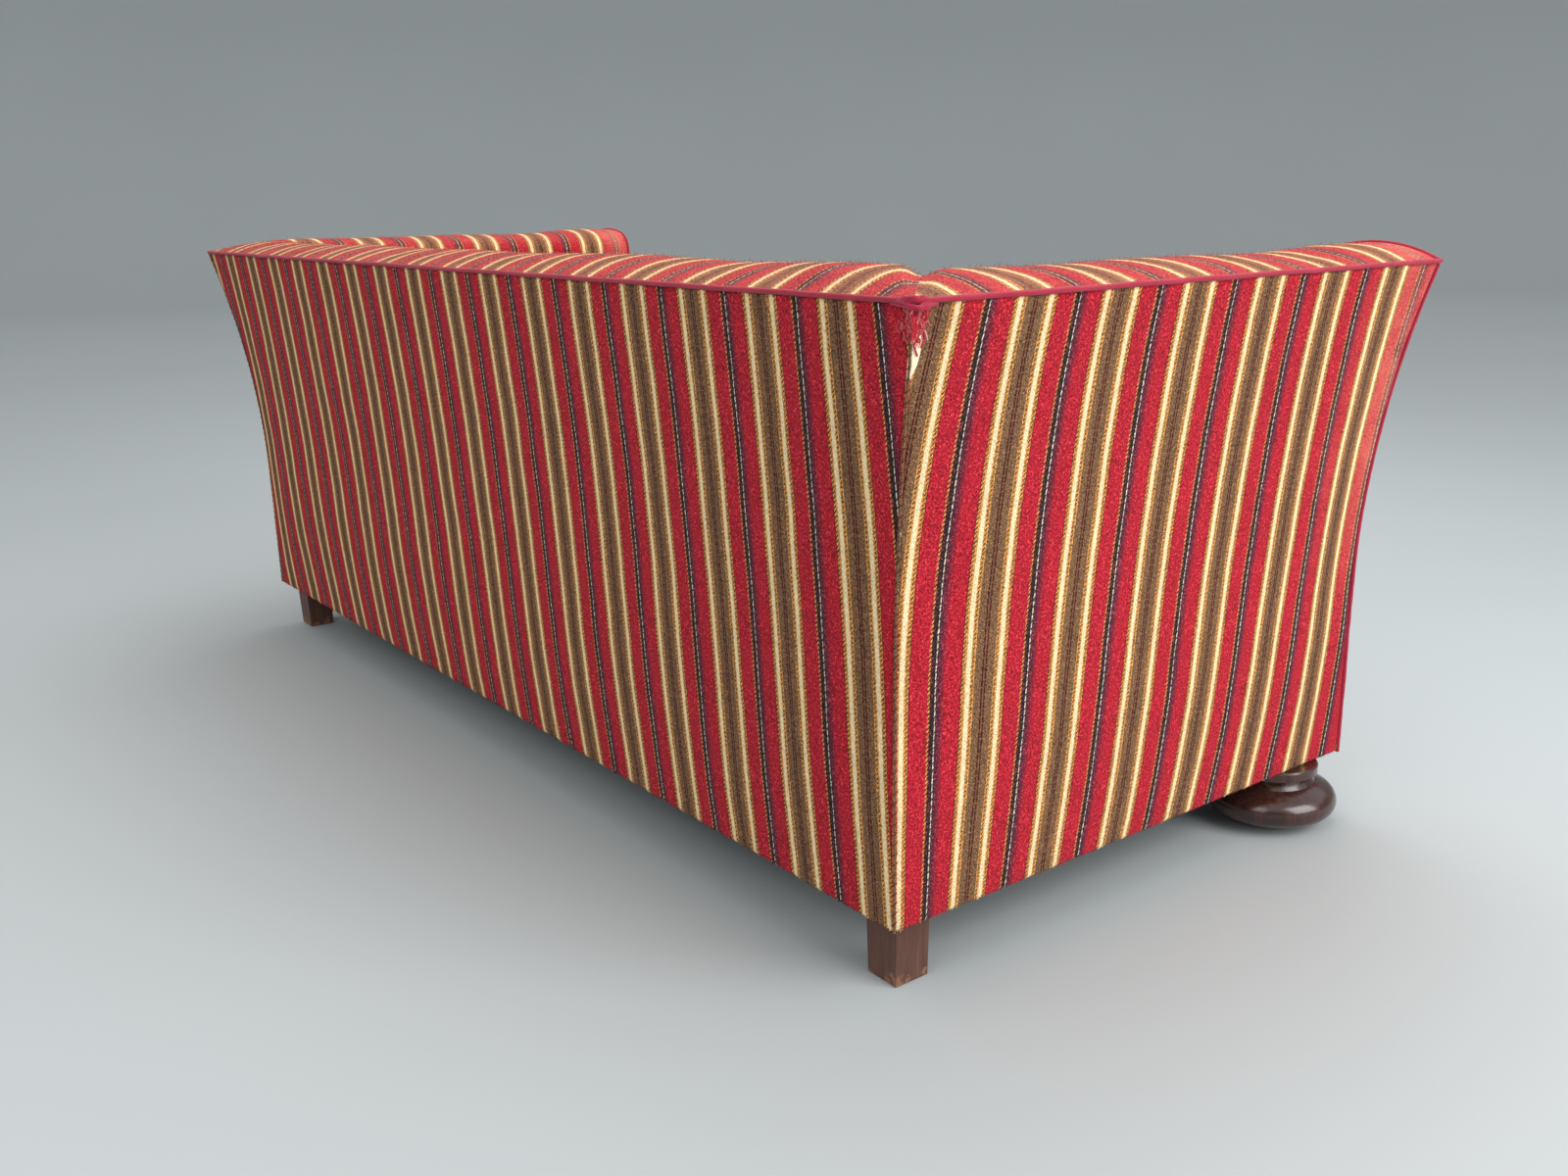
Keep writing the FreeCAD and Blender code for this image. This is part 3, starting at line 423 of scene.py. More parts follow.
def cord_cloth(name):
    """Crimson cloth cut on the bias and rolled round a cord."""
    net = Net(name)
    place = net.place()
    along, around, _ = net.split(net.cloth_place())
    twill = ((along * 420 + around * 900).fraction() - 0.5).size()
    faded = net.noise(place, 22, 3.0)
    fuzz = net.noise(place, 900, 2.0)
    colour = net.mix(faded.spread(0.45, 0.75) * 0.55, cloth().cord, linear(192, 46, 78))
    colour = net.shade(colour, 0.68 + twill * 0.35 + fuzz * 0.4)
    return net.finish(base_color=colour, roughness=0.88, sheen_weight=0.2, specular_ior_level=0.2,
                      normal=net.bump(twill + fuzz, 0.0006))


def stained_wood(net, dark, light, worn_low):
    """Hardwood rubbed bare near the floor: its colour, fine grain and rubbed places."""
    place = net.place()
    grain = net.noise(net.stretched(place, 60, 60, 7), 2.2, 6.0, 0.6)
    lines = net.noise(net.stretched(place, 320, 320, 16), 1.0, 3.0)
    colour = net.mix((grain * 0.7 + lines * 0.3).spread(0.3, 0.7), dark, light)
    _, _, up = net.split(place)
    chips = net.noise(place, 70, 3.0, 0.7) + net.noise(place, 13, 1.0) * 0.6
    low = 1 - up.spread(0.0, worn_low)
    rubbed = (chips + low * 0.32).spread(1.04, 1.12)
    return net.mix(rubbed * 0.65, colour, wood().foot_worn), lines, rubbed


def foot_polish(name):
    """Dark stained hardwood with a satin polish."""
    net = Net(name)
    colour, lines, rubbed = stained_wood(net, wood().foot_dark, wood().foot_light, 0.03)
    cloudy = net.noise(net.place(), 14, 3.0)
    rough = 0.15 + cloudy * 0.14 + rubbed * 0.3 + lines * 0.06
    return net.finish(base_color=colour, roughness=rough, coat_weight=0.35, coat_roughness=0.12,
                      normal=net.bump(lines * 0.4 - rubbed, 0.0004, 0.6))


def leg_stain(name):
    """Brown stain on the square legs, dull with use and chipped at the floor."""
    net = Net(name)
    colour, lines, rubbed = stained_wood(net, wood().leg_dark, wood().leg_light, 0.03)
    return net.finish(base_color=colour, roughness=0.5 + rubbed * 0.25, specular_ior_level=0.3,
                      normal=net.bump(lines * 0.4 - rubbed, 0.0004, 0.6))


def sawn_beech(name):
    """Pale timber with flecks along its grain."""
    net = Net(name)
    place = net.place()
    grain = net.noise(net.stretched(place, 12, 60, 60), 1.5, 4.0)
    flecks = net.noise(net.stretched(place, 90, 420, 420), 1.0, 1.0).spread(0.62, 0.72)
    colour = net.shade(wood().beech, 0.78 + grain * 0.42)
    colour = net.mix(flecks * 0.35, colour, linear(140, 98, 62))
    return net.finish(base_color=colour, roughness=0.72,
                      normal=net.bump(grain + flecks, 0.0004, 0.5))


def plain_weave(name, colour, pitch, relief):
    """Plain cloth of crossing yarns, such as hessian, webbing, lining or platform cloth."""
    net = Net(name)
    place = net.place()
    x, y, z = net.split(place)
    slub = net.noise(place, 60, 2.0)
    fine = net.noise(place, 700, 1.0)

    def yarns(run):
        return ((run / pitch + slub * 0.3).fraction() - 0.5).size()

    weave = yarns(x + z) + yarns(y + z)
    tone = net.shade(colour, 0.62 + weave * 0.4 + slub * 0.25 + fine * 0.15)
    return net.finish(base_color=tone, roughness=0.94, specular_ior_level=0.15,
                      normal=net.bump(weave + fine * 0.5, relief))


def felted(name):
    """Cotton felt and hair."""
    net = Net(name)
    place = net.place()
    tufts = net.noise(place, 75, 5.0, 0.7)
    hairs = net.noise(net.stretched(place, 30, 400, 400), 1.0, 3.0)
    colour = net.shade(wood().felt, 0.7 + tufts * 0.35 + hairs * 0.15)
    return net.finish(base_color=colour, roughness=1.0, sheen_weight=0.1,
                      normal=net.bump(tufts + hairs, 0.004))


def bright_steel(name):
    """Drawn wire and screws with a little tarnish."""
    net = Net(name)
    place = net.place()
    tarnish = net.noise(place, 45, 3.0).spread(0.45, 0.75)
    colour = net.mix(tarnish * 0.6, wood().steel, linear(112, 84, 62))
    return net.finish(base_color=colour, metallic=0.9, roughness=0.34 + tarnish * 0.3,
                      normal=net.bump(net.noise(place, 500, 1.0), 0.0002, 0.4))


def thread(name, colour):
    """Twisted sewing thread or frayed yarn."""
    net = Net(name)
    fuzz = net.noise(net.place(), 800, 2.0)
    return net.finish(base_color=net.shade(colour, 0.7 + fuzz * 0.6), roughness=0.9,
                      normal=net.bump(fuzz, 0.0004))


def studio_floor(name):
    """Matt pale floor that runs up into the backdrop."""
    net = Net(name)
    cloud = net.noise(net.place(), 0.8, 2.0)
    colour = net.shade(bpy.context.scene.sofa_stage.floor, 0.97 + cloud * 0.06)
    return net.finish(base_color=colour, roughness=0.75, specular_ior_level=0.2)


# Making of meshes
def new_piece(name, form, material, body, thickness=0.0):
    """Object of a finished bmesh that rides a body and has its material."""
    mesh = bpy.data.meshes.new(name)
    form.to_mesh(mesh)
    form.free()
    mesh.shade_smooth()
    mesh.set_sharp_from_angle(angle=SHARP)
    piece = bpy.data.objects.new(name, mesh)
    bpy.context.scene.collection.objects.link(piece)
    mesh.materials.append(material)
    if thickness:
        wall = piece.modifiers.new("Thickness", "SOLIDIFY")
        wall.thickness = thickness
        wall.offset = -1
    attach(piece, body)
    return piece


def absorb(form, extra):
    """Form with another one added to it."""
    spare = bpy.data.meshes.new("spare")
    extra.to_mesh(spare)
    extra.free()
    form.from_mesh(spare)
    bpy.data.meshes.remove(spare)
    return form


def patch(columns, rows, lay, form=None):
    """Grid on a surface: lay(a, b), each from 0 to 1, gives a point and its cloth coordinates."""
    grid = bmesh.new()
    bmesh.ops.create_grid(grid, x_segments=columns, y_segments=rows, size=0.5)
    uv = grid.loops.layers.uv.new(CLOTH)
    laid = {vert: lay(vert.co.x + 0.5, vert.co.y + 0.5) for vert in grid.verts}
    for face in grid.faces:
        for loop in face.loops:
            loop[uv].uv = laid[loop.vert][1]
    for vert, (point, _) in laid.items():
        vert.co = point
    return grid if form is None else absorb(form, grid)


def welded(form, gap=FINE_WELD):
    """Form with its seams welded and its faces turned outwards."""
    bmesh.ops.remove_doubles(form, verts=form.verts, dist=gap)
    bmesh.ops.recalc_face_normals(form, faces=form.faces)
    return form


def closed(form):
    """Form with its seams welded, its ends filled and its faces turned outwards."""
    bmesh.ops.remove_doubles(form, verts=form.verts, dist=FINE_WELD)
    rims = [edge for edge in form.edges if edge.is_boundary]
    bmesh.ops.holes_fill(form, edges=rims, sides=0)
    bmesh.ops.recalc_face_normals(form, faces=form.faces)
    return form


def outward(form, direction):
    """Open form with its faces turned to one side."""
    bmesh.ops.recalc_face_normals(form, faces=form.faces)
    total = sum((face.normal * face.calc_area() for face in form.faces), Vector())
    if total.dot(direction) < 0:
        bmesh.ops.reverse_faces(form, faces=form.faces)
    return form


def ripple(point, scale, seed=0.0):
    """Smooth noise between about -1 and 1 at a point."""
    return noise.noise(point * scale + Vector((seed, 2 * seed, -seed)))


def share_of(value):
    """A number kept between 0 and 1."""
    return max(0, min(1, value))


def travelled(points):
    """Length along a row of points up to each of them."""
    total = [0.0]
    for first, second in zip(points, points[1:]):
        total.append(total[-1] + (second - first).length)
    return total


def evenly_along(points):
    """Path from 0 to 1 at an even pace along a row of points."""
    runs = travelled(points)

    def path(part):
        run = part * runs[-1]
        leg = max(index for index in range(len(points) - 1) if runs[index] <= run + 1e-9)
        share = (run - runs[leg]) / (runs[leg + 1] - runs[leg])
        return points[leg].lerp(points[leg + 1], share)

    return path


def tube(path, count, radius, sides, upward, form=None, loose=0.0):
    """Round cord along path(0..1), with its cloth coordinates along and around it."""
    points = [path(index / count) for index in range(count + 1)]
    lengths = travelled(points)

    def lay(a, b):
        index = round(a * count)
        ahead = points[min(index + 1, count)] - points[max(index - 1, 0)]
        side = ahead.cross(upward).normalized()
        lift = side.cross(ahead).normalized()
        angle = 2 * math.pi * b
        swell = radius * (1 + loose * ripple(points[index], 90))
        point = points[index] + (side * math.cos(angle) + lift * math.sin(angle)) * swell
        return point, (lengths[index], b * 2 * math.pi * radius)

    return patch(count, sides, lay, form)


# Upholstered walls: the two arms and the back share one way of making their sections
class Wall:
    """Section of an arm or of the back: out from its foot line and up from the floor."""

    FACE_STEPS = 44
    CROWN_STEPS = 10
    ROLL_STEPS = 7
    INNER_STEPS = 26
    SEEN_STEPS = CROWN_STEPS + ROLL_STEPS + INNER_STEPS
    BEHIND = (0.4, 0.55)  # heights of the points behind the padding, below the rail
    RAIL_INSET = 0.004

    def __init__(self, flare, slope):
        sizes = shape()
        self.flare = flare
        self.slope = slope
        self.start = sizes.flare_start
        self.bend = ((TOP_EDGE - self.start) ** 2 + flare ** 2) / (2 * flare)
        self.dome = (sizes.crown_reach ** 2 + sizes.crown ** 2) / (2 * sizes.crown)
        self.dome_centre = Vector((flare - sizes.crown_reach, TOP_EDGE + sizes.crown - self.dome))
        self.first = -math.asin(sizes.crown_reach / self.dome)
        self.roll_turn = sizes.roll_turn
        self.roll = sizes.roll_radius
        self.roll_centre = self.dome_centre + self.inward(self.roll_turn) * (self.dome - self.roll)

    @staticmethod
    def inward(angle):
        return Vector((-math.sin(angle), math.cos(angle)))

    def face(self, up, inset=0.0):
        """How far out the outside is at a height."""
        if up <= self.start:
            return -inset
        risen = min(up, TOP_EDGE) - self.start
        return self.bend - math.sqrt((self.bend + inset) ** 2 - risen ** 2)

    def outside(self):
        """Points of the outside cover from the piped edge down, round the hem and in below."""
        points = []
        for step in range(self.FACE_STEPS + 1):
            up = TOP_EDGE + (HEM + HEM_ROUND - TOP_EDGE) * step / self.FACE_STEPS
            points.append(Vector((self.face(up), up)))
        for angle in (30, 60, 90):
            turned = math.radians(angle)
            points.append(Vector((HEM_ROUND * (math.cos(turned) - 1),
                                  HEM + HEM_ROUND * (1 - math.sin(turned)))))
        points.append(Vector((-HEM_ROUND - HEM_TURN / 2, HEM)))
        points.append(Vector((-HEM_ROUND - HEM_TURN, HEM)))
        return points

    def padding(self):
        """Closed section of the padding: over the crown and roll, down inside, and up behind."""
        visible = []
        for step in range(self.CROWN_STEPS):
            angle = self.first + (self.roll_turn - self.first) * step / self.CROWN_STEPS
            visible.append((self.dome_centre + self.inward(angle) * self.dome, self.inward(angle)))
        last = math.pi / 2 - self.slope
        for step in range(self.ROLL_STEPS):
            angle = self.roll_turn + (last - self.roll_turn) * step / self.ROLL_STEPS
            visible.append((self.roll_centre + self.inward(angle) * self.roll, self.inward(angle)))
        top = self.roll_centre + self.inward(last) * self.roll
        foot = Vector((top.x - (top.y - TUCK) * math.tan(self.slope), TUCK))
        for step in range(self.INNER_STEPS + 1):
            visible.append((top.lerp(foot, step / self.INNER_STEPS), self.inward(last)))
        depth = shape().post_depth
        still = Vector((0, 0))
        hidden = [(Vector((self.face(TUCK, depth), TUCK)), still)]
        for up in (*self.BEHIND, RAIL_TOP):
            hidden.append((Vector((self.face(up, depth), up + CLOTH_THICKNESS)), still))
        rail = Vector((self.face(RAIL_TOP, self.RAIL_INSET), RAIL_TOP + CLOTH_THICKNESS))
        hidden.append((rail, still))
        return visible + hidden + visible[:1]


def walls():
    """Sections of an arm and of the back."""
    sizes = shape()
    return Wall(sizes.arm_flare, sizes.arm_slope), Wall(sizes.back_flare, sizes.back_slope)


def foot_lines(arm, back):
    """How far the arms' and the back's foot lines lie from the middle."""
    return SIDE_EDGE - arm.flare, REAR_EDGE - back.flare


def out_of(side):
    """Direction out of an arm, or of the back where side is 0."""
    return Vector((side, 0, 0)) if side else TOWARDS_REAR.copy()


# How the cloth of the outsides was pulled on
BOW_MIDDLE = 0.425  # height where the stripes are pulled aside most
BOW_REACH = 0.275
ARM_STRETCH = 0.028
ARM_END_PULL = 0.09
BACK_STRETCH = 0.008
BACK_SPREAD = 0.012
HOLLOW_SPAN = 0.008  # most that the taut cloth stands off the hollow between hem and top
SPAN_END = 0.14  # length over which that dies out towards a corner
COVER_SLACK = 0.0016
COVER_RIPPLE = 0.0007
SEAM_PULL = 0.0012
SEAM_EASE = 0.03  # distance from a seam, hem or front at which the cloth is free
TOP_EASE = 0.04
HEM_WAVE = 0.0012


def bowed(up):
    """Sideways pull of the cloth at a height: 1 at half height, less towards hem and top."""
    return 1 - ((up - BOW_MIDDLE) / BOW_REACH) ** 2


def arm_across(y, side, up=TOP_EDGE):
    """Cloth coordinate across the stripes of an arm; the two arms mirror each other."""
    wool = cloth()
    bow = bowed(up)
    repeat = wool.arm_repeat * (1 + ARM_STRETCH * bow)
    count = (wool.arm_start - wool.arm_bow * bow - y) / repeat
    count += ARM_END_PULL * bow * (y / FRONT) ** 2
    return -side * count * wool.repeat


def back_across(x, up=TOP_EDGE):
    """Cloth coordinate across the stripes of the back."""
    wool = cloth()
    bow = bowed(up)
    repeat = wool.back_repeat * (1 + BACK_STRETCH * bow + BACK_SPREAD * (up - BOW_MIDDLE))
    return (wool.back_start + wool.back_bow * bow - x) / repeat * wool.repeat


BACK_COLUMNS = 210
ARM_COLUMNS = 90


def outside_cover(name, arm, back, side):
    """Cloth pulled down over the outside of an arm, or of the back where side is 0."""
    arm_half, back_foot = foot_lines(arm, back)
    arm_points, back_points = arm.outside(), back.outside()
    own = arm_points if side else back_points
    lengths = travelled(own)
    last = len(own) - 1

    def lay(a, b):
        row = round((1 - b) * last)
        up = own[row].y
        end_x = arm_half + arm_points[row].x
        end_y = back_foot + back_points[row].x
        if side:
            point = Vector((side * end_x, FRONT + (end_y - FRONT) * a, up))
            seam = end_y - point.y
            ends = min(seam, point.y - FRONT)
            across = arm_across(point.y, side, up)
        else:
            point = Vector((end_x * (2 * a - 1), end_y, up))
            seam = ends = end_x - abs(point.x)
            across = back_across(point.x, up)
        inner = min(1, seam / SEAM_EASE)
        held = min(1, (TOP_EDGE - up) / TOP_EASE, max(0, up - HEM) / SEAM_EASE)
        soft = COVER_SLACK * ripple(point, 4.5) + COVER_RIPPLE * ripple(point, 17, 3)
        rise = share_of((up - HEM) / (TOP_EDGE - HEM))
        dying = math.sin(math.pi / 2 * share_of(ends / SPAN_END)) ** 2
        taut = HOLLOW_SPAN * 4 * rise * (1 - rise) * dying
        point += out_of(side) * (soft * inner * held - SEAM_PULL * (1 - inner) ** 2 + taut)
        if up < HEM + HEM_ROUND:
            point.z += HEM_WAVE * ripple(Vector((point.x, point.y, 0)), 22)
        return point, (across, lengths[row])

    columns = ARM_COLUMNS if side else BACK_COLUMNS
    form = outward(patch(columns, last, lay), out_of(side))
    cover = new_piece(name, form, outer_stripes(), "sofa", CLOTH_THICKNESS)
    return cover


def crown_rise(run, bumps):
    """Lift of the padded top: soft bumps, each with a place, a half width and a height."""
    return sum(high * math.exp(-((run - place) / wide) ** 2) for place, wide, high in bumps)


BACK_BUMPS = ((-0.86, 0.16, 0.006), (-0.35, 0.22, 0.003), (0.3, 0.2, -0.002),
              (0.75, 0.2, -0.003))
ARM_BUMPS = ((0.1, 0.12, -0.002), (-0.2, 0.1, -0.005), (-0.33, 0.07, 0.004))
FOLD_DEPTH = 0.006
FOLD_WIDTH = 0.016
PAD_EASE = 0.05  # distance from the piping or the tuck at which the padding is free
PAD_SWELL = 0.0035
PAD_RIPPLE = 0.0012
BUMP_FADE = 2.4  # how fast the bumps of the top die out down the inside


def padded_wall(name, arm, back, side):
    """Padded top and inside of an arm, or of the back where side is 0, mitred at the corners."""
    arm_half, back_foot = foot_lines(arm, back)
    arm_points, back_points = arm.padding(), back.padding()
    own = arm_points if side else back_points
    lengths = travelled([point for point, _ in own])
    last = len(own) - 1
    reach = lengths[Wall.SEEN_STEPS]

    def lay(a, b):
        row = round((1 - b) * last)
        (out, up), (lean, rise) = own[row]
        end_x = arm_half + arm_points[row][0].x
        end_y = back_foot + back_points[row][0].x
        shared = (arm_points[row][0].y + back_points[row][0].y) / 2
        if side:
            point = Vector((side * (arm_half + out), FRONT + (end_y - FRONT) * a, up))
            lift = Vector((side * lean, 0, rise))
            seam = end_y - point.y
            free = min(1, (point.y - FRONT) / SEAM_EASE)
            high = crown_rise(point.y, ARM_BUMPS)
            across = arm_across(point.y, side)
        else:
            point = Vector((end_x * (2 * a - 1), back_foot + out, up))
            lift = Vector((0, lean, rise))
            seam = end_x - abs(point.x)
            free = 1
            high = crown_rise(point.x, BACK_BUMPS)
            across = back_across(point.x)
        near = math.exp(-(seam / FOLD_WIDTH) ** 2)
        point.z += (shared - up) * near
        if row <= Wall.SEEN_STEPS:
            run = lengths[row]
            held = min(1, run / PAD_EASE) * min(1, (reach - run) / PAD_EASE) * free
            puff = high * max(0, 1 - BUMP_FADE * (run / reach))
            puff = puff + PAD_SWELL * ripple(point, 5) + PAD_RIPPLE * ripple(point, 19, 5)
            point += lift * held * (puff * (1 - near) - FOLD_DEPTH * near)
        return point, (across, lengths[row])

    columns = ARM_COLUMNS if side else BACK_COLUMNS
    form = closed(patch(columns, last, lay))
    pad = new_piece(name, form, worn_stripes(), "sofa")
    return pad


def facing_bounds(arm, up):
    """Inner and outer edge of an arm's front at a height."""
    last = math.pi / 2 - arm.slope
    roll_end = arm.roll_centre + arm.inward(last) * arm.roll
    roll_start = arm.roll_centre + arm.inward(arm.roll_turn) * arm.roll

    def chord(radius, height):
        return math.sqrt(max(0, radius ** 2 - height ** 2))

    dome = chord(arm.dome, up - arm.dome_centre.y)
    outer = arm.face(up) if up <= TOP_EDGE else arm.dome_centre.x + dome
    if up <= roll_end.y:
        inner = roll_end.x - (roll_end.y - up) * math.tan(arm.slope)
    elif up <= roll_start.y:
        inner = arm.roll_centre.x - chord(arm.roll, up - arm.roll_centre.y)
    else:
        inner = arm.dome_centre.x - dome
    return inner, outer


FACING_GRID = (24, 70)
FACING_PUFF = 0.004
FACING_RIPPLE = 0.0008
FACING_GAP = 0.001
FACING_START = 0.35  # share of the repeat at the middle of the facing's foot


def arm_facing(name, arm, side):
    """Striped panel on the front of an arm, a little rounded towards its piped edges."""
    arm_half = SIDE_EDGE - arm.flare
    peak = arm.dome_centre.y + arm.dome - CORD_RADIUS
    middle = sum(facing_bounds(arm, HEM)) / 2

    def lay(a, b):
        up = HEM + (peak - HEM) * (1 - (1 - b) ** 1.6)
        inner, outer = facing_bounds(arm, max(up, TUCK))
        if up < TUCK:
            outer = arm.face(up)
        inner, outer = inner + CORD_RADIUS, outer - CORD_RADIUS
        outer = max(outer, inner)
        out = inner + (outer - inner) * a
        edge = min(1, 4 * a, 4 * (1 - a), (peak - up) / SEAM_EASE)
        puff = FACING_PUFF * math.sin(edge * math.pi / 2)
        puff += FACING_RIPPLE * ripple(Vector((out, up, side)), 12)
        point = Vector((side * (arm_half + out), FRONT + FACING_GAP - puff, up))
        return point, ((out - middle) * side + cloth().repeat * FACING_START, up)

    form = patch(*FACING_GRID, lay)
    bmesh.ops.remove_doubles(form, verts=form.verts, dist=FINE_WELD)
    outward(form, TOWARDS_FRONT)
    panel = new_piece(name, form, outer_stripes(), "sofa", CLOTH_THICKNESS)
    width = facing_bounds(arm, TOP_EDGE)[1] - facing_bounds(arm, TUCK)[0]
    return panel


# Operators, one for each piece or group of like pieces
class SOFA_OT_outside_covers(bpy.types.Operator):
    """Pull the outside covers down over the arms and the back."""
    bl_idname = "sofa.outside_covers"
    bl_label = "Outside covers"

    def execute(self, context):
        arm, back = walls()
        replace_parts(outside_cover("outside_back_cloth", arm, back, 0), "outside_back_cover")
        for word, side in SIDES.items():
            cover = outside_cover(f"{word}_outside_arm_cloth", arm, back, side)
            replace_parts(cover, f"{word}_outside_arm_cover")
        return {"FINISHED"}


class SOFA_OT_padded_walls(bpy.types.Operator):
    """Pad the tops and insides of the arms and the back."""
    bl_idname = "sofa.padded_walls"
    bl_label = "Padded arms and back"

    def execute(self, context):
        arm, back = walls()
        pad = padded_wall("padded_back", arm, back, 0)
        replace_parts(pad, "inside_back_cover", "back_stuffing")
        for word, side in SIDES.items():
            pad = padded_wall(f"{word}_padded_arm", arm, back, side)
            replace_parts(pad, f"{word}_inside_arm_cover", f"{word}_arm_stuffing")
        return {"FINISHED"}


class SOFA_OT_arm_facings(bpy.types.Operator):
    """Cover the fronts of the arms."""
    bl_idname = "sofa.arm_facings"
    bl_label = "Arm facings"

    def execute(self, context):
        arm, _ = walls()
        for word, side in SIDES.items():
            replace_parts(arm_facing(f"{word}_facing_cloth", arm, side), f"{word}_arm_facing")
        return {"FINISHED"}


def level_cloth(low, high, drop, edge, sag, scale):
    """Level cloth in a box, held at its edges and sagging a little between them."""
    def lay(a, b):
        x = low.x + (high.x - low.x) * a
        y = low.y + (high.y - low.y) * b
        inner = min(1, edge * a, edge * (1 - a), edge * b, edge * (1 - b))
        up = high.z - drop - inner * sag * (1 + ripple(Vector((x, y, 0)), scale))
        return Vector((x, y, up)), (x, y)
    return lay


def border_cloth(a, b):
    """Front border, held at its upper and lower edge."""
    up = BORDER_LOW.z + (BORDER_HIGH.z - BORDER_LOW.z) * b
    x = BORDER_LOW.x + (BORDER_HIGH.x - BORDER_LOW.x) * a
    held = min(1, 6 * b, 6 * (1 - b))
    y = BORDER_LOW.y + 0.001 - held * (0.002 + 0.001 * ripple(Vector((x, 0, up)), 8))
    return Vector((x, y, up)), (back_across(x), up)


class SOFA_OT_seat_cloths(bpy.types.Operator):
    """Lay the front border, the platform cloth and the dust cover."""
    bl_idname = "sofa.seat_cloths"
    bl_label = "Seat cloths"

    def execute(self, context):
        striped = outer_stripes()
        form = outward(patch(150, 24, border_cloth), TOWARDS_FRONT)
        piece = new_piece("front_border_cloth", form, striped, "sofa", CLOTH_THICKNESS)
        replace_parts(piece, "front_border")

        weave = finish_of("platform_cloth", plain_weave, wood().deck, 0.0022, 0.0006)
        lay = level_cloth(DECK_LOW, DECK_HIGH, 0.0006, 8, 0.0012, 7)
        form = outward(patch(110, 50, lay), UP)
        piece = new_piece("platform_cloth", form, weave, "sofa", CLOTH_THICKNESS)
        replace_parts(piece, "seat_deck_cover")

        weave = finish_of("dust_cloth", plain_weave, wood().lining, 0.0012, 0.0003)
        lay = level_cloth(DUST_LOW, DUST_HIGH, 0.001, 5, 0.003, 4)
        form = outward(patch(90, 40, lay), -UP)
        piece = new_piece("dust_cloth", form, weave, "sofa", CLOTH_THICKNESS / 2)
        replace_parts(piece, "dust_cover")
        return {"FINISHED"}


# Cushions
CUSHION_CORNER = 0.018
CUSHION_INSET = 0.004
CUSHION_LIFT = 0.001
CUSHION_RISE = 0.022  # most that the top stands over its piping
VOXEL, QUICK_VOXEL = 0.006, 0.009
SWELL_FRAMES = 20
SWELL = {"quality": 4, "mass": 0.3, "tension_stiffness": 12, "compression_stiffness": 12,
         "bending_stiffness": 0.4, "use_pressure": True, "uniform_pressure_force": 4,
         "vertex_group_mass": "seam"}
PUCKER = 0.0016
PUCKER_REACH = 0.02
CUSHION_SOFT = 0.002
SEAT_HOLLOW = 0.006
SEAT_REACH = (0.15, 0.17)
SEAT_FORWARD = 0.03  # how far in front of the cushion's middle people sit


def cushion_block(low, high, voxel):
    """Even mesh of a boxed cushion, ready to swell."""
    form = bmesh.new()
    bmesh.ops.create_cube(form, size=1)
    size = high - low
    bmesh.ops.scale(form, vec=size, verts=form.verts)
    bmesh.ops.translate(form, vec=(low + high) / 2, verts=form.verts)
    upright = [e for e in form.edges if abs(e.verts[0].co.z - e.verts[1].co.z) > size.z / 2]
    bmesh.ops.bevel(form, geom=upright, offset=CUSHION_CORNER, offset_type="OFFSET", affect="EDGES",
                    segments=4, profile=0.5, material=-1)
    mesh = bpy.data.meshes.new("block")
    form.to_mesh(mesh)
    form.free()
    block = bpy.data.objects.new("block", mesh)
    bpy.context.scene.collection.objects.link(block)
    grid = block.modifiers.new("Even", "REMESH")
    grid.mode = "VOXEL"
    grid.voxel_size = voxel
    return block


def evaluated(piece):
    """Mesh of a piece with its modifiers applied."""
    graph = bpy.context.evaluated_depsgraph_get()
    graph.update()
    return bpy.data.meshes.new_from_object(piece.evaluated_get(graph))


def swollen(low, high):
    """Cushion whose cover has been blown up between its seams."""
    voxel = VOXEL
    block = cushion_block(low, high, voxel)
    mesh = evaluated(block)
    bpy.data.objects.remove(block)
    piece = bpy.data.objects.new("swelling", mesh)
    bpy.context.scene.collection.objects.link(piece)
    before = [vert.co.copy() for vert in mesh.vertices]
    middle = (low + high) / 2
    half = (high - low) / 2
    seam = piece.vertex_groups.new(name="seam")
    for vert in mesh.vertices:
        rim = max(abs(vert.co.x - middle.x) - half.x, abs(vert.co.y - middle.y) - half.y)
        if abs(abs(vert.co.z - middle.z) - half.z) < voxel and rim > -1.6 * voxel:
            seam.add([vert.index], 1.0, "REPLACE")
    soft = piece.modifiers.new("Swell", "CLOTH")
    for setting, value in SWELL.items():
        setattr(soft.settings, setting, value)
    soft.settings.effector_weights.gravity = 0
    soft.point_cache.frame_start = 1
    soft.point_cache.frame_end = SWELL_FRAMES
    scene = bpy.context.scene
    for step in range(1, SWELL_FRAMES + 1):
        scene.frame_set(step)
        bpy.context.view_layer.update()
    blown = evaluated(piece)
    scene.frame_set(1)
    after = [vert.co.copy() for vert in blown.vertices]
    piece.modifiers.clear()
    cap = shape().cushion_swell
    for vert, start, end in zip(mesh.vertices, before, after):
        shift = end - start
        if shift.length > cap:
            shift *= cap / shift.length
        vert.co = start + shift
    return piece


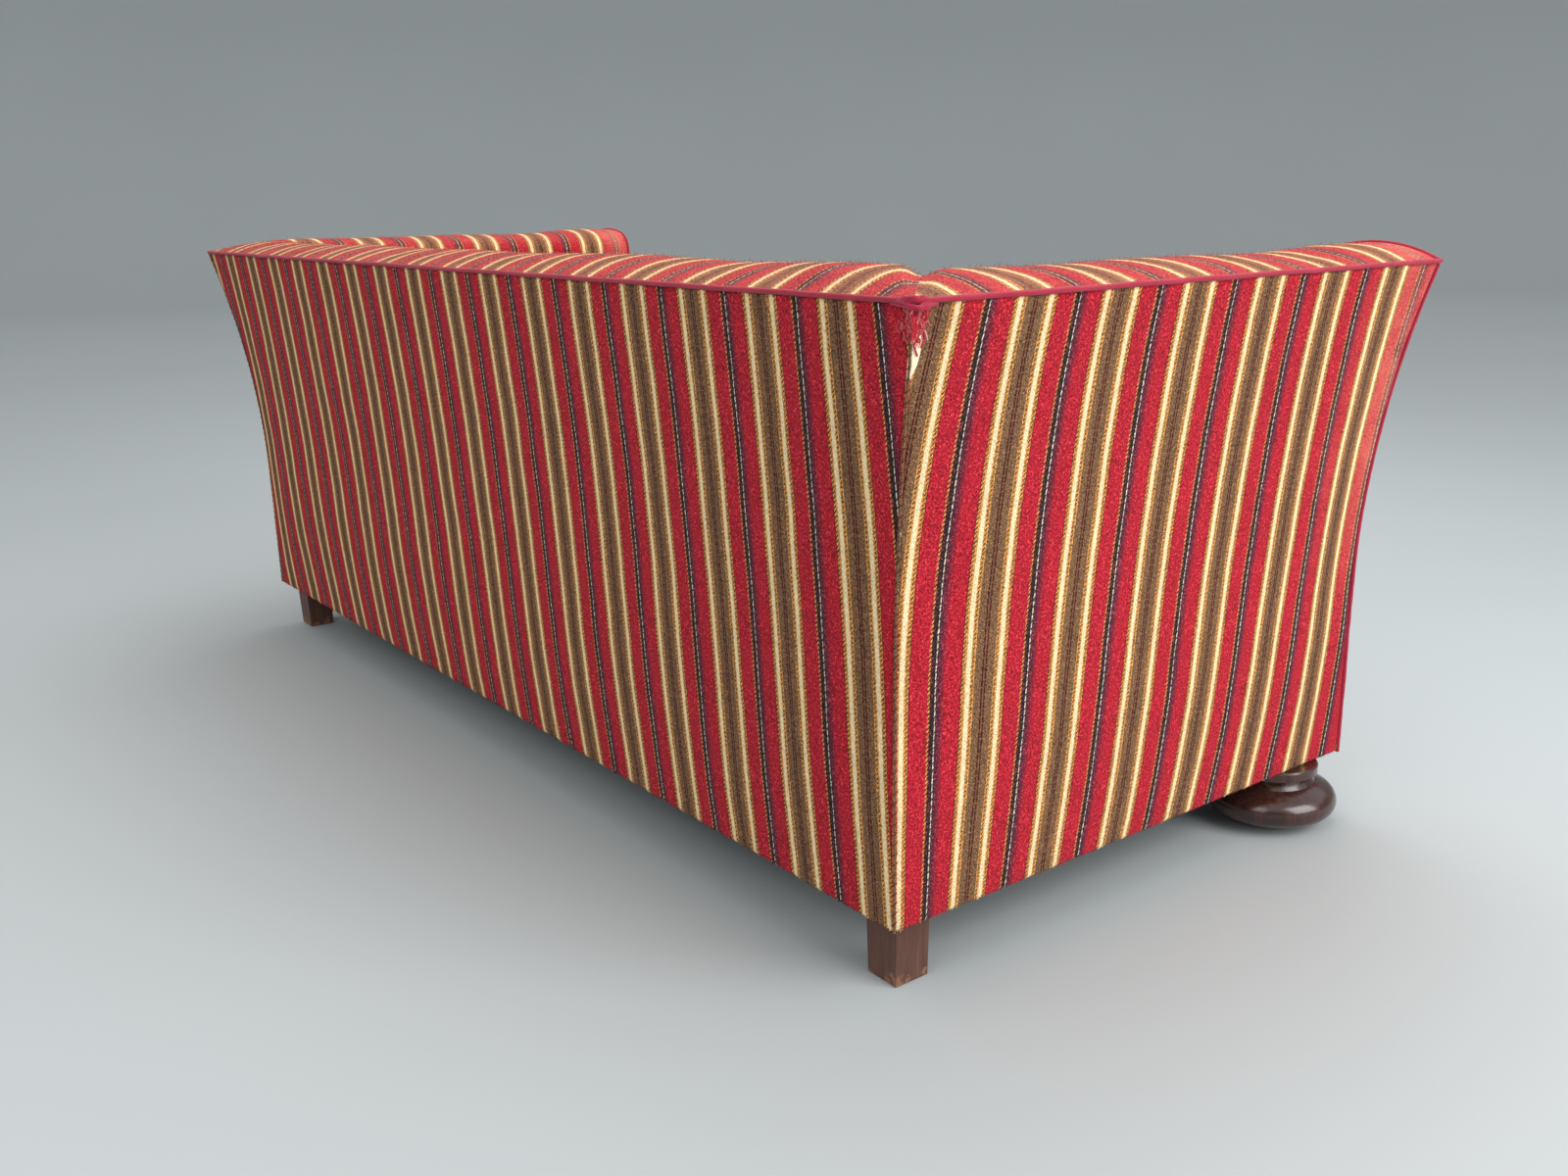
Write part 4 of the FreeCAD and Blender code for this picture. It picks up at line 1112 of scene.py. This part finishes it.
def settle(piece, low, high, seed):
    """Cushion shaped by use: flat below, hollowed where people sit, puckered along its seams."""
    middle = (low + high) / 2
    half = (high - low) / 2
    for vert in piece.data.vertices:
        point = vert.co
        rim = min(half.x - abs(point.x - middle.x), half.y - abs(point.y - middle.y))
        level = min(abs(point.z - low.z), abs(point.z - high.z))
        near = math.exp(-max(0, max(rim, level)) / PUCKER_REACH)
        run = Vector((point.x, point.y, 0 if rim > level else point.z * 0.2))
        pucker = PUCKER * near * ripple(run, 38, seed)
        outside = point - middle
        outside = Vector((outside.x / half.x ** 2, outside.y / half.y ** 2,
                          outside.z / half.z ** 2)).normalized()
        vert.co += outside * (pucker + CUSHION_SOFT * ripple(point, 6, seed))
        if point.z > middle.z:
            aside = (point.x - middle.x) / SEAT_REACH[0]
            ahead = (point.y - middle.y + SEAT_FORWARD) / SEAT_REACH[1]
            seat = math.exp(-aside ** 2 - ahead ** 2)
            vert.co.z -= SEAT_HOLLOW * seat * (point.z - middle.z) / half.z
        vert.co.z = min(max(vert.co.z, low.z), high.z + CUSHION_RISE)


def cushion_cloth_map(mesh):
    """Cloth coordinates of a cushion: stripes run from front to back and down its sides."""
    layer = mesh.uv_layers.new(name=CLOTH)
    for face in mesh.polygons:
        normal = face.normal
        for corner in face.loop_indices:
            point = mesh.vertices[mesh.loops[corner].vertex_index].co
            if abs(normal.z) > 0.6:
                layer.data[corner].uv = (back_across(point.x), point.y)
            elif abs(normal.y) >= abs(normal.x):
                layer.data[corner].uv = (back_across(point.x), point.z)
            else:
                layer.data[corner].uv = (arm_across(point.y, -1), point.z)


class SOFA_OT_cushions(bpy.types.Operator):
    """Fill the three loose seat cushions."""
    bl_idname = "sofa.cushions"
    bl_label = "Seat cushions"

    def execute(self, context):
        worn = worn_stripes()
        low, high = corners("centre_cushion_cover")
        seam = corners("centre_cushion_piping")[1].z - CORD_RADIUS
        start = Vector((low.x + CUSHION_INSET, low.y + CUSHION_INSET, low.z + CUSHION_LIFT))
        stop = Vector((high.x - CUSHION_INSET, high.y - CUSHION_INSET, seam))
        first = swollen(start, stop)
        for index, seat in enumerate(SEATS):
            mesh = first.data.copy()
            mesh.name = f"{seat}_seat_cushion"
            cushion = bpy.data.objects.new(f"{seat}_seat_cushion", mesh)
            context.scene.collection.objects.link(cushion)
            settle(cushion, start, stop, 10.0 * index)
            place = corners(f"{seat}_cushion_cover")[0].x - low.x
            mesh.transform(Matrix.Translation((place, 0, 0)))
            mesh.update()
            cushion_cloth_map(mesh)
            mesh.shade_smooth()
            mesh.materials.append(worn)
            smooth = cushion.modifiers.new("Round", "SUBSURF")
            smooth.levels = smooth.render_levels = 1
            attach(cushion, f"{seat}_cushion")
            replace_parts(cushion, f"{seat}_cushion_cover", f"{seat}_cushion_filling")
        bpy.data.objects.remove(first)
        return {"FINISHED"}


def loop_path(low, high, corner, up):
    """Closed rounded rectangle as a path from 0 to 1, at a height."""
    size = Vector((high.x - low.x - 2 * corner, high.y - low.y - 2 * corner))
    bend = corner * math.pi / 2
    total = 2 * (size.x + size.y) + 4 * bend
    middle = (low + high) / 2

    def path(part):
        run = part % 1 * total
        for quarter in range(4):
            flat = size.x if quarter % 2 == 0 else size.y
            far = (size.y if quarter % 2 == 0 else size.x) / 2 + corner
            heading = quarter * math.pi / 2
            ahead = Vector((math.cos(heading), math.sin(heading), 0))
            aside = Vector((math.sin(heading), -math.cos(heading), 0))
            if run <= flat:
                point = ahead * (run - flat / 2) + aside * far
                break
            run -= flat
            if run <= bend:
                turned = run / corner
                pivot = ahead * (flat / 2) + aside * (far - corner)
                point = pivot + (aside * math.cos(turned) + ahead * math.sin(turned)) * corner
                break
            run -= bend
        return Vector((middle.x + point.x, middle.y + point.y, up))

    return path


class SOFA_OT_piping(bpy.types.Operator):
    """Sew the crimson piping along the tops, the arm fronts and the cushions."""
    bl_idname = "sofa.piping"
    bl_label = "Piping"

    LOOSE = 0.12
    RING_LOOSE = 0.1
    RING_CORNER = 0.02
    TOP_SWAY = 0.0009
    FACING_SWAY = 0.0008
    CORNER_BEND = 0.006  # length of cord that is drawn in at each rear corner
    CORNER_PULL = 0.0012  # share of its distance from the middle by which it is drawn in

    def execute(self, context):
        crimson = finish_of("crimson_piping", cord_cloth)
        form = closed(tube(self.top_line(), 560, CORD_SEEN, 12, UP, loose=self.LOOSE))
        piece = new_piece("top_piping_cord", form, crimson, "sofa")
        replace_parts(piece, "top_piping")
        arm, _ = walls()
        for word, side in SIDES.items():
            outer, inner = self.facing_lines(arm, side)
            form = closed(tube(outer, 110, CORD_SEEN, 12, TOWARDS_REAR, loose=self.LOOSE))
            absorb(form, closed(tube(inner, 120, CORD_SEEN, 12, TOWARDS_REAR, loose=self.LOOSE)))
            piece = new_piece(f"{word}_facing_cord", form, crimson, "sofa")
            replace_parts(piece, f"{word}_facing_piping")
        inset = Vector((CORD_RADIUS,) * 3)
        for seat in SEATS:
            low, high = corners(f"{seat}_cushion_piping")
            form = bmesh.new()
            for up in (low.z + CORD_RADIUS, high.z - CORD_RADIUS):
                ring = loop_path(low + inset, high - inset, self.RING_CORNER, up)
                tube(ring, 300, CORD_RADIUS, 10, UP, form, loose=self.RING_LOOSE)
            piece = new_piece(f"{seat}_cushion_cord", welded(form, 1e-4), crimson,
                              f"{seat}_cushion")
            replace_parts(piece, f"{seat}_cushion_piping")
        return {"FINISHED"}

    def top_line(self):
        """Path of the cord along the left arm, the back and the right arm."""
        front = FRONT - CORD_RADIUS
        stations = [Vector((x, y, TOP_EDGE)) for x, y in (
            (-SIDE_EDGE, front), (-SIDE_EDGE, REAR_EDGE), (SIDE_EDGE, REAR_EDGE), (SIDE_EDGE, front))]
        runs = travelled(stations)
        straight = evenly_along(stations)

        def path(part):
            point = straight(part)
            for reached in runs[1:3]:
                gap = abs(part * runs[-1] - reached)
                if gap < self.CORNER_BEND:
                    axis = Vector((0, 0, point.z))
                    point = point.lerp(axis, self.CORNER_PULL * (1 - gap / self.CORNER_BEND))
            sway = Vector((ripple(point, 14), ripple(point, 14, 4), ripple(point, 14, 8)))
            return point + sway * self.TOP_SWAY

        return path

    def facing_lines(self, arm, side):
        """Paths of the cords down the outer edge of an arm's front, and over its top and inside."""
        arm_half = SIDE_EDGE - arm.flare
        over = evenly_along([point for point, _ in arm.padding()[:Wall.SEEN_STEPS]])

        def outer(part):
            up = HEM + (TOP_EDGE - CORD_RADIUS - HEM) * part
            point = Vector((side * (arm_half + arm.face(up)), FRONT, up))
            return point + Vector((ripple(point, 14), ripple(point, 14, 4), 0)) * self.FACING_SWAY

        def inner(part):
            spot = over(part)
            return Vector((side * (arm_half + spot.x), FRONT, max(spot.y, DECK_HIGH.z)))

        return outer, inner


def corner_line(arm, back, side, up):
    """Point on a rear corner at a height, where an arm's and the back's covers meet."""
    arm_half, back_foot = foot_lines(arm, back)
    return Vector((side * (arm_half + arm.face(up)), back_foot + back.face(up), up))


def lined_up(points):
    """Smooth path from 0 to 1 through a few points, by halving the turns between them."""
    for _ in range(3):
        middles = [(a + b) / 2 for a, b in zip(points, points[1:])]
        points = [points[0]] + [item for pair in zip(middles, points[1:]) for item in pair]
        inner = [(a + 2 * b + c) / 4 for a, b, c in zip(points, points[1:], points[2:])]
        points = [points[0]] + inner + [points[-1]]

    def path(part):
        place = part * (len(points) - 1)
        first = min(int(place), len(points) - 2)
        return points[first].lerp(points[first + 1], place - first)

    return path


class SOFA_OT_corner_seams(bpy.types.Operator):
    """Sew the rear corners by hand, and wear the left one as far as it is worn."""
    bl_idname = "sofa.corner_seams"
    bl_label = "Rear corner seams"

    STITCH_PITCH = 0.011
    STITCH_REACH = 0.0035
    THREAD = 0.00045
    SEAM_RADIUS = 0.0014
    FRAY_DEPTH = 0.024
    FRAY_REACH = 0.015
    FRAY_RADII = (0.0004, 0.0009)
    SLIT_TOP = 0.017
    SLIT_LENGTH = 0.052
    SLIT_WIDTH = 0.015
    FOLD_ACROSS = 0.006  # cloth coordinate of the corner folds, in the brown stripe
    KNOT_TURNS = 4
    KNOT_JITTER = 0.0028
    FRAY_OUT = 0.0025  # most that a frayed yarn stands off the corner
    FRAY_IN = 0.018
    FRAY_LIE = 0.001

    def execute(self, context):
        arm, back = walls()
        upward = Vector((0.3, 0.2, 1))
        seam_form, stitch_form = bmesh.new(), bmesh.new()
        for side in SIDES.values():
            def line(part):
                point = corner_line(arm, back, side, HEM + (TOP_EDGE - CORD_RADIUS - HEM) * part)
                inset = Vector((-side, -1, 0)) * 0.0008
                return point + inset + Vector((ripple(point, 30), ripple(point, 30, 5), 0)) * 0.0006

            tube(line, 120, self.SEAM_RADIUS, 8, Vector((side, 1, 0)), seam_form, loose=0.3)
            count = int((TOP_EDGE - HEM) / self.STITCH_PITCH)
            for index in range(1, count):
                up = HEM + index * self.STITCH_PITCH
                middle = corner_line(arm, back, side, up)
                reach = self.STITCH_REACH * (1 + 0.4 * ripple(middle, 70))
                over = Vector((side, 1, 0)) * (self.SEAM_RADIUS + self.THREAD)
                ends = [middle + Vector((-side * reach, 0.0006, -0.002)), middle + over * 0.8,
                        middle + Vector((side * 0.0006, -reach, 0.002))]
                tube(lined_up(ends), 8, self.THREAD, 5, upward, stitch_form)
        welded(seam_form)
        uv = seam_form.loops.layers.uv[CLOTH]
        for face in seam_form.faces:
            for loop in face.loops:
                loop[uv].uv = (self.FOLD_ACROSS, loop.vert.co.z)
        new_piece("rear_corner_folds", seam_form, outer_stripes(), "sofa")
        dark = finish_of("sewing_thread", thread, cloth().edge)
        new_piece("rear_corner_stitches", welded(stitch_form, 1e-6), dark, "sofa")
        self.wear(arm, back)
        return {"FINISHED"}

    def wear(self, arm, back):
        """Crumpled cord end, loose threads and a slit of lining at the left rear corner."""
        chance = random.Random(11)
        self.cord_end(chance)
        frays = (("red_fray", cloth().red, 70), ("pink_fray", linear(190, 92, 96), 44),
                 ("pale_fray", linear(216, 160, 152), 8))
        for name, colour, count in frays:
            fray = bmesh.new()
            for _ in range(count):
                path = lined_up(self.frayed_yarn(arm, back, chance))
                tube(path, 10, chance.uniform(*self.FRAY_RADII), 5, Vector((0.5, 0.4, 1)), fray)
            bmesh.ops.recalc_face_normals(fray, faces=fray.faces)
            yarn = finish_of(name, thread, colour)
            new_piece(f"left_corner_{name}", fray, yarn, "sofa")
        self.bare_lining(arm, back)

    def cord_end(self, chance):
        """End of the piping, crumpled round the corner in a few turns."""
        top = Vector((-SIDE_EDGE, REAR_EDGE, TOP_EDGE))
        knot = bmesh.new()
        for turn_up in range(self.KNOT_TURNS):
            drop = -0.006 + 0.0035 * turn_up
            points = [top + Vector((0.030 - 0.005 * turn_up, 0.0005, drop * 0.5))]
            for step in range(1, 6):
                along = step / 6
                reach = 0.012 * (1 - 2 * along)
                spot = Vector((reach, 0.002, drop)) if along < 0.5 else Vector((-0.002, reach, drop))
                jitter = [chance.uniform(-self.KNOT_JITTER, self.KNOT_JITTER) for _ in range(3)]
                points.append(top + spot + Vector(jitter))
            points.append(top + Vector((-0.0005, -0.026 + 0.004 * turn_up, drop * 0.5)))
            tube(lined_up(points), 36, CORD_SEEN * 0.75, 8, Vector((0.4, 0.5, 1)), knot, loose=0.5)
        crimson = finish_of("crimson_piping", cord_cloth)
        new_piece("left_corner_cord_end", closed(knot), crimson, "sofa")

    def frayed_yarn(self, arm, back, chance):
        """Points of one loose yarn that hangs along the worn corner."""
        up = TOP_EDGE - CORD_RADIUS - chance.uniform(0, self.FRAY_DEPTH)
        start = corner_line(arm, back, -1, up)
        reach = chance.uniform(0, self.FRAY_REACH)
        on_back = chance.random() < 0.45
        start += Vector((reach, 0.0006, 0)) if on_back else Vector((-0.0006, -reach, 0))
        points = [start]
        for _ in range(4):
            spot = points[-1] + Vector((chance.uniform(-0.004, 0.004), chance.uniform(-0.004, 0.004),
                                        chance.uniform(-0.007, 0.003)))
            edge = corner_line(arm, back, -1, spot.z)
            spot.x = min(max(spot.x, edge.x - self.FRAY_OUT), edge.x + self.FRAY_IN)
            spot.y = min(max(spot.y, edge.y - self.FRAY_IN), edge.y + self.FRAY_OUT)
            if spot.x > edge.x and spot.y < edge.y:
                if edge.x - spot.x > spot.y - edge.y:
                    spot.x = edge.x - self.FRAY_LIE
                else:
                    spot.y = edge.y + self.FRAY_LIE
            points.append(spot)
        return points

    def bare_lining(self, arm, back):
        """Leaf of pale lining that shows where the seam has opened."""
        def lay(a, b):
            up = TOP_EDGE - self.SLIT_TOP - self.SLIT_LENGTH * (1 - b)
            edge = corner_line(arm, back, -1, up)
            open_share = math.sin(math.pi * (0.03 + 0.94 * b)) ** 0.7
            width = self.SLIT_WIDTH * open_share * (0.45 + 0.55 * b)
            wave = 0.0012 * ripple(Vector((a, up * 40, 0)), 2)
            out = -0.0009 - 0.0007 * math.sin(math.pi * a)
            return edge + Vector((out, -0.0012 - width * a + wave, 0)), (width * a, up)

        form = outward(patch(8, 30, lay), Vector((-1, 0, 0)))
        lining = finish_of("bared_lining", plain_weave, linear(252, 232, 200), 0.0012, 0.0005)
        bared = new_piece("left_corner_lining", form, lining, "sofa", CLOTH_THICKNESS / 2)


class SOFA_OT_loose_fibres(bpy.types.Operator):
    """Raise fine fibres on the worn tops, and leave yarn ends along the hem."""
    bl_idname = "sofa.loose_fibres"
    bl_label = "Loose fibres"

    FIBRES_PER_METRE2 = 16000
    FIBRE = 0.00017
    FIBRE_LENGTHS = (0.0015, 0.0045)
    FIBRE_SLOPE = 0.35  # faces that look up less than this stay smooth
    YARN_PITCH = 0.0032
    YARN = 0.0008

    def execute(self, context):
        chance = random.Random(23)
        for name in ("padded_back", "left_padded_arm", "right_padded_arm"):
            form = self.raised_fibres(bpy.data.objects[name].data, chance)
            new_piece(name.replace("padded", "fibres_of"), form, worn_stripes(), "sofa")
        form = self.yarn_ends(chance)
        new_piece("hem_yarn_ends", form, outer_stripes(), "sofa")
        return {"FINISHED"}

    def raised_fibres(self, mesh, chance):
        """Fibres that stand up on the faces of a worn top."""
        uv = mesh.uv_layers[CLOTH].data
        form = bmesh.new()
        layer = form.loops.layers.uv.new(CLOTH)
        for face in mesh.polygons:
            if face.normal.z < self.FIBRE_SLOPE:
                continue
            wanted = face.area * self.FIBRES_PER_METRE2
            for _ in range(int(wanted) + (chance.random() < wanted % 1)):
                shares = [chance.random() for _ in face.vertices]
                parts = [mesh.vertices[vert].co * share for vert, share in zip(face.vertices, shares)]
                lean = Vector([chance.uniform(-0.8, 0.8) for _ in range(3)])
                tip = (face.normal + lean) * chance.uniform(*self.FIBRE_LENGTHS)
                spot = sum(parts, Vector()) / sum(shares)
                self.strand(form, layer, spot, tip, self.FIBRE, uv[face.loop_start].uv)
        return form

    def yarn_ends(self, chance):
        """Short yarn ends along the hem of the back and of both arms."""
        form = bmesh.new()
        layer = form.loops.layers.uv.new(CLOTH)
        foot_x, foot_y = foot_lines(*walls())
        runs = [(Vector((-foot_x, foot_y, HEM)), Vector((foot_x, foot_y, HEM)), 0)]
        for side in SIDES.values():
            rear = Vector((side * foot_x, foot_y, HEM))
            runs.append((rear, Vector((side * foot_x, FRONT, HEM)), side))
        for start, end, side in runs:
            count = int((end - start).length / self.YARN_PITCH)
            for index in range(1, count):
                spot = start.lerp(end, (index + chance.uniform(-0.5, 0.5)) / count)
                across = arm_across(spot.y, side, HEM) if side else back_across(spot.x, HEM)
                sway = [chance.uniform(-0.0015, 0.0015) for _ in range(2)]
                tip = Vector(sway + [-chance.uniform(0.0005, 0.0035)])
                root = spot - out_of(side) * 0.002 + Vector((0, 0, 0.001))
                self.strand(form, layer, root, tip, self.YARN, (across, 0))
        return form

    def strand(self, form, layer, spot, tip, radius, cloth_place):
        """Three-sided tapering strand from a spot to its tip."""
        side = tip.orthogonal().normalized() * radius
        other = tip.cross(side).normalized() * radius
        ring = [form.verts.new(spot + offset) for offset in (side, other - side / 2, -other - side / 2)]
        end = form.verts.new(spot + tip)
        for first, second in zip(ring, ring[1:] + ring[:1]):
            face = form.faces.new((first, second, end))
            for loop in face.loops:
                loop[layer].uv = cloth_place
        base = form.faces.new(reversed(ring))
        for loop in base.loops:
            loop[layer].uv = cloth_place


# Finishes of the frame's own pieces, by words in their names
NODE_FINISHES = (
    ("bun_foot", ("polished_foot", foot_polish)),
    ("rear_leg", ("stained_leg", leg_stain)),
    ("spring", ("spring_wire", bright_steel)),
    ("screw", ("bright_steel", bright_steel)),
    ("bolt", ("bright_steel", bright_steel)),
    ("webbing", ("jute_webbing", plain_weave, "jute", 0.0035, 0.001)),
    ("hessian", ("jute_hessian", plain_weave, "jute", 0.0025, 0.0008)),
    ("stuffing", ("felt", felted)),
    ("edge_roll", ("felt", felted)),
    ("", ("sawn_beech", sawn_beech)),
)


class SOFA_OT_frame_finishes(bpy.types.Operator):
    """Polish the feet and finish the timber, webbing, springs and stuffing."""
    bl_idname = "sofa.frame_finishes"
    bl_label = "Feet and frame"

    def execute(self, context):
        for name, node in CAD_NODES.items():
            recipe = next(recipe for word, recipe in NODE_FINISHES if word in name)
            settings = [getattr(wood(), item) if isinstance(item, str) else item for item in recipe[2:]]
            material = finish_of(recipe[0], recipe[1], *settings)
            for slot in node.material_slots:
                slot.material = material
        return {"FINISHED"}


class SOFA_OT_stage(bpy.types.Operator):
    """Set up the floor, the soft lights and the camera."""
    bl_idname = "sofa.stage"
    bl_label = "Stage"

    REACH, COVE, WALL = 11.0, 3.0, 4.0
    COVE_STEPS = 8
    SKY = 0.92
    LAMPS = (  # name, place, what it looks at, size, watts
        ("arm_softbox", (-3.5, -0.7, 1.8), (-0.6, 0.1, 0.3), 2.4, 114),
        ("back_softbox", (-1.6, 3.3, 2.2), (-0.2, 0.3, 0.4), 2.4, 40),
        ("top_softbox", (0.6, -0.8, 3.4), (0.0, 0.0, 0.5), 2.6, 60))

    def execute(self, context):
        scene = context.scene
        self.lay_floor(scene)
        self.hang_lamps(scene)
        self.set_camera(scene)
        scene.view_settings.view_transform = "Standard"
        return {"FINISHED"}

    def lay_floor(self, scene):
        """Round floor that runs up into a wall through a cove."""
        floor = bmesh.new()
        profile = [Vector((0, 0, 0)), Vector((self.REACH, 0, 0))]
        for step in range(1, self.COVE_STEPS + 1):
            angle = math.pi / 2 * step / self.COVE_STEPS
            profile.append(Vector((self.REACH + self.COVE * math.sin(angle), 0,
                                   self.COVE * (1 - math.cos(angle)))))
        profile.append(Vector((self.REACH + self.COVE, 0, self.COVE + self.WALL)))
        row = [floor.verts.new(point) for point in profile]
        lines = [floor.edges.new(pair) for pair in zip(row, row[1:])]
        bmesh.ops.spin(floor, geom=row + lines, cent=(0, 0, 0), axis=(0, 0, 1), dvec=(0, 0, 0),
                       angle=2 * math.pi, steps=72, use_merge=True)
        bmesh.ops.remove_doubles(floor, verts=floor.verts, dist=FINE_WELD)
        outward(floor, UP)
        mesh = bpy.data.meshes.new("studio_floor")
        floor.to_mesh(mesh)
        floor.free()
        mesh.shade_smooth()
        mesh.materials.append(finish_of("studio_floor", studio_floor))
        sweep = bpy.data.objects.new("studio_floor", mesh)
        scene.collection.objects.link(sweep)

    def hang_lamps(self, scene):
        """Pale surroundings and three soft lamps."""
        world = bpy.data.worlds.new("soft_studio")
        scene.world = world
        world.use_nodes = True
        sky = world.node_tree.nodes["Background"]
        sky.inputs["Color"].default_value = (0.97, 0.99, 1, 1)
        sky.inputs["Strength"].default_value = self.SKY
        for name, spot, aim, size, power in self.LAMPS:
            light = bpy.data.lights.new(name, "AREA")
            light.shape = "SQUARE"
            light.size = size
            light.energy = power
            lamp = bpy.data.objects.new(name, light)
            lamp.location = spot
            lamp.rotation_euler = (Vector(aim) - Vector(spot)).to_track_quat("-Z", "Y").to_euler()
            scene.collection.objects.link(lamp)

    def set_camera(self, scene):
        """Camera at the place and with the direction, roll and focal length of the settings."""
        stage = scene.sofa_stage
        camera = bpy.data.cameras.new("photo_camera")
        camera.sensor_fit = "HORIZONTAL"
        camera.sensor_width = 36
        camera.lens = stage.focal
        ahead = Vector((math.cos(stage.dip) * math.cos(stage.heading),
                        math.cos(stage.dip) * math.sin(stage.heading), -math.sin(stage.dip)))
        right = ahead.cross(UP).normalized()
        above = right.cross(ahead)
        tilted = right * math.cos(stage.lean) + above * math.sin(stage.lean)
        upright = above * math.cos(stage.lean) - right * math.sin(stage.lean)
        turned = Matrix((tilted, upright, -ahead)).transposed()
        eye = bpy.data.objects.new("photo_camera", camera)
        eye.matrix_world = Matrix.Translation(stage.eye) @ turned.to_4x4()
        scene.collection.objects.link(eye)
        scene.camera = eye


STEPS = (SOFA_OT_outside_covers, SOFA_OT_padded_walls, SOFA_OT_arm_facings, SOFA_OT_seat_cloths,
         SOFA_OT_cushions, SOFA_OT_piping, SOFA_OT_corner_seams, SOFA_OT_loose_fibres,
         SOFA_OT_frame_finishes, SOFA_OT_stage)


class SOFA_PT_panel(bpy.types.Panel):
    """Steps that dress the sofa, in order."""
    bl_label = "Sofa"
    bl_idname = "SOFA_PT_panel"
    bl_space_type = "VIEW_3D"
    bl_region_type = "UI"
    bl_category = "Sofa"

    def draw(self, context):
        for step in STEPS:
            self.layout.operator(step.bl_idname)


GROUPS = {"sofa_shape": SofaShape, "sofa_cloth": SofaCloth, "sofa_wood": SofaWood,
          "sofa_stage": SofaStage}


def register():
    for name, group in GROUPS.items():
        bpy.utils.register_class(group)
        setattr(bpy.types.Scene, name, PointerProperty(type=group))
    for item in (*STEPS, SOFA_PT_panel):
        bpy.utils.register_class(item)


def unregister():
    for item in (SOFA_PT_panel, *reversed(STEPS)):
        bpy.utils.unregister_class(item)
    for name, group in GROUPS.items():
        delattr(bpy.types.Scene, name)
        bpy.utils.unregister_class(group)


def main():
    register()
    for step in STEPS:
        group, action = step.bl_idname.split(".")
        getattr(getattr(bpy.ops, group), action)()


if __name__ == "__main__":
    main()
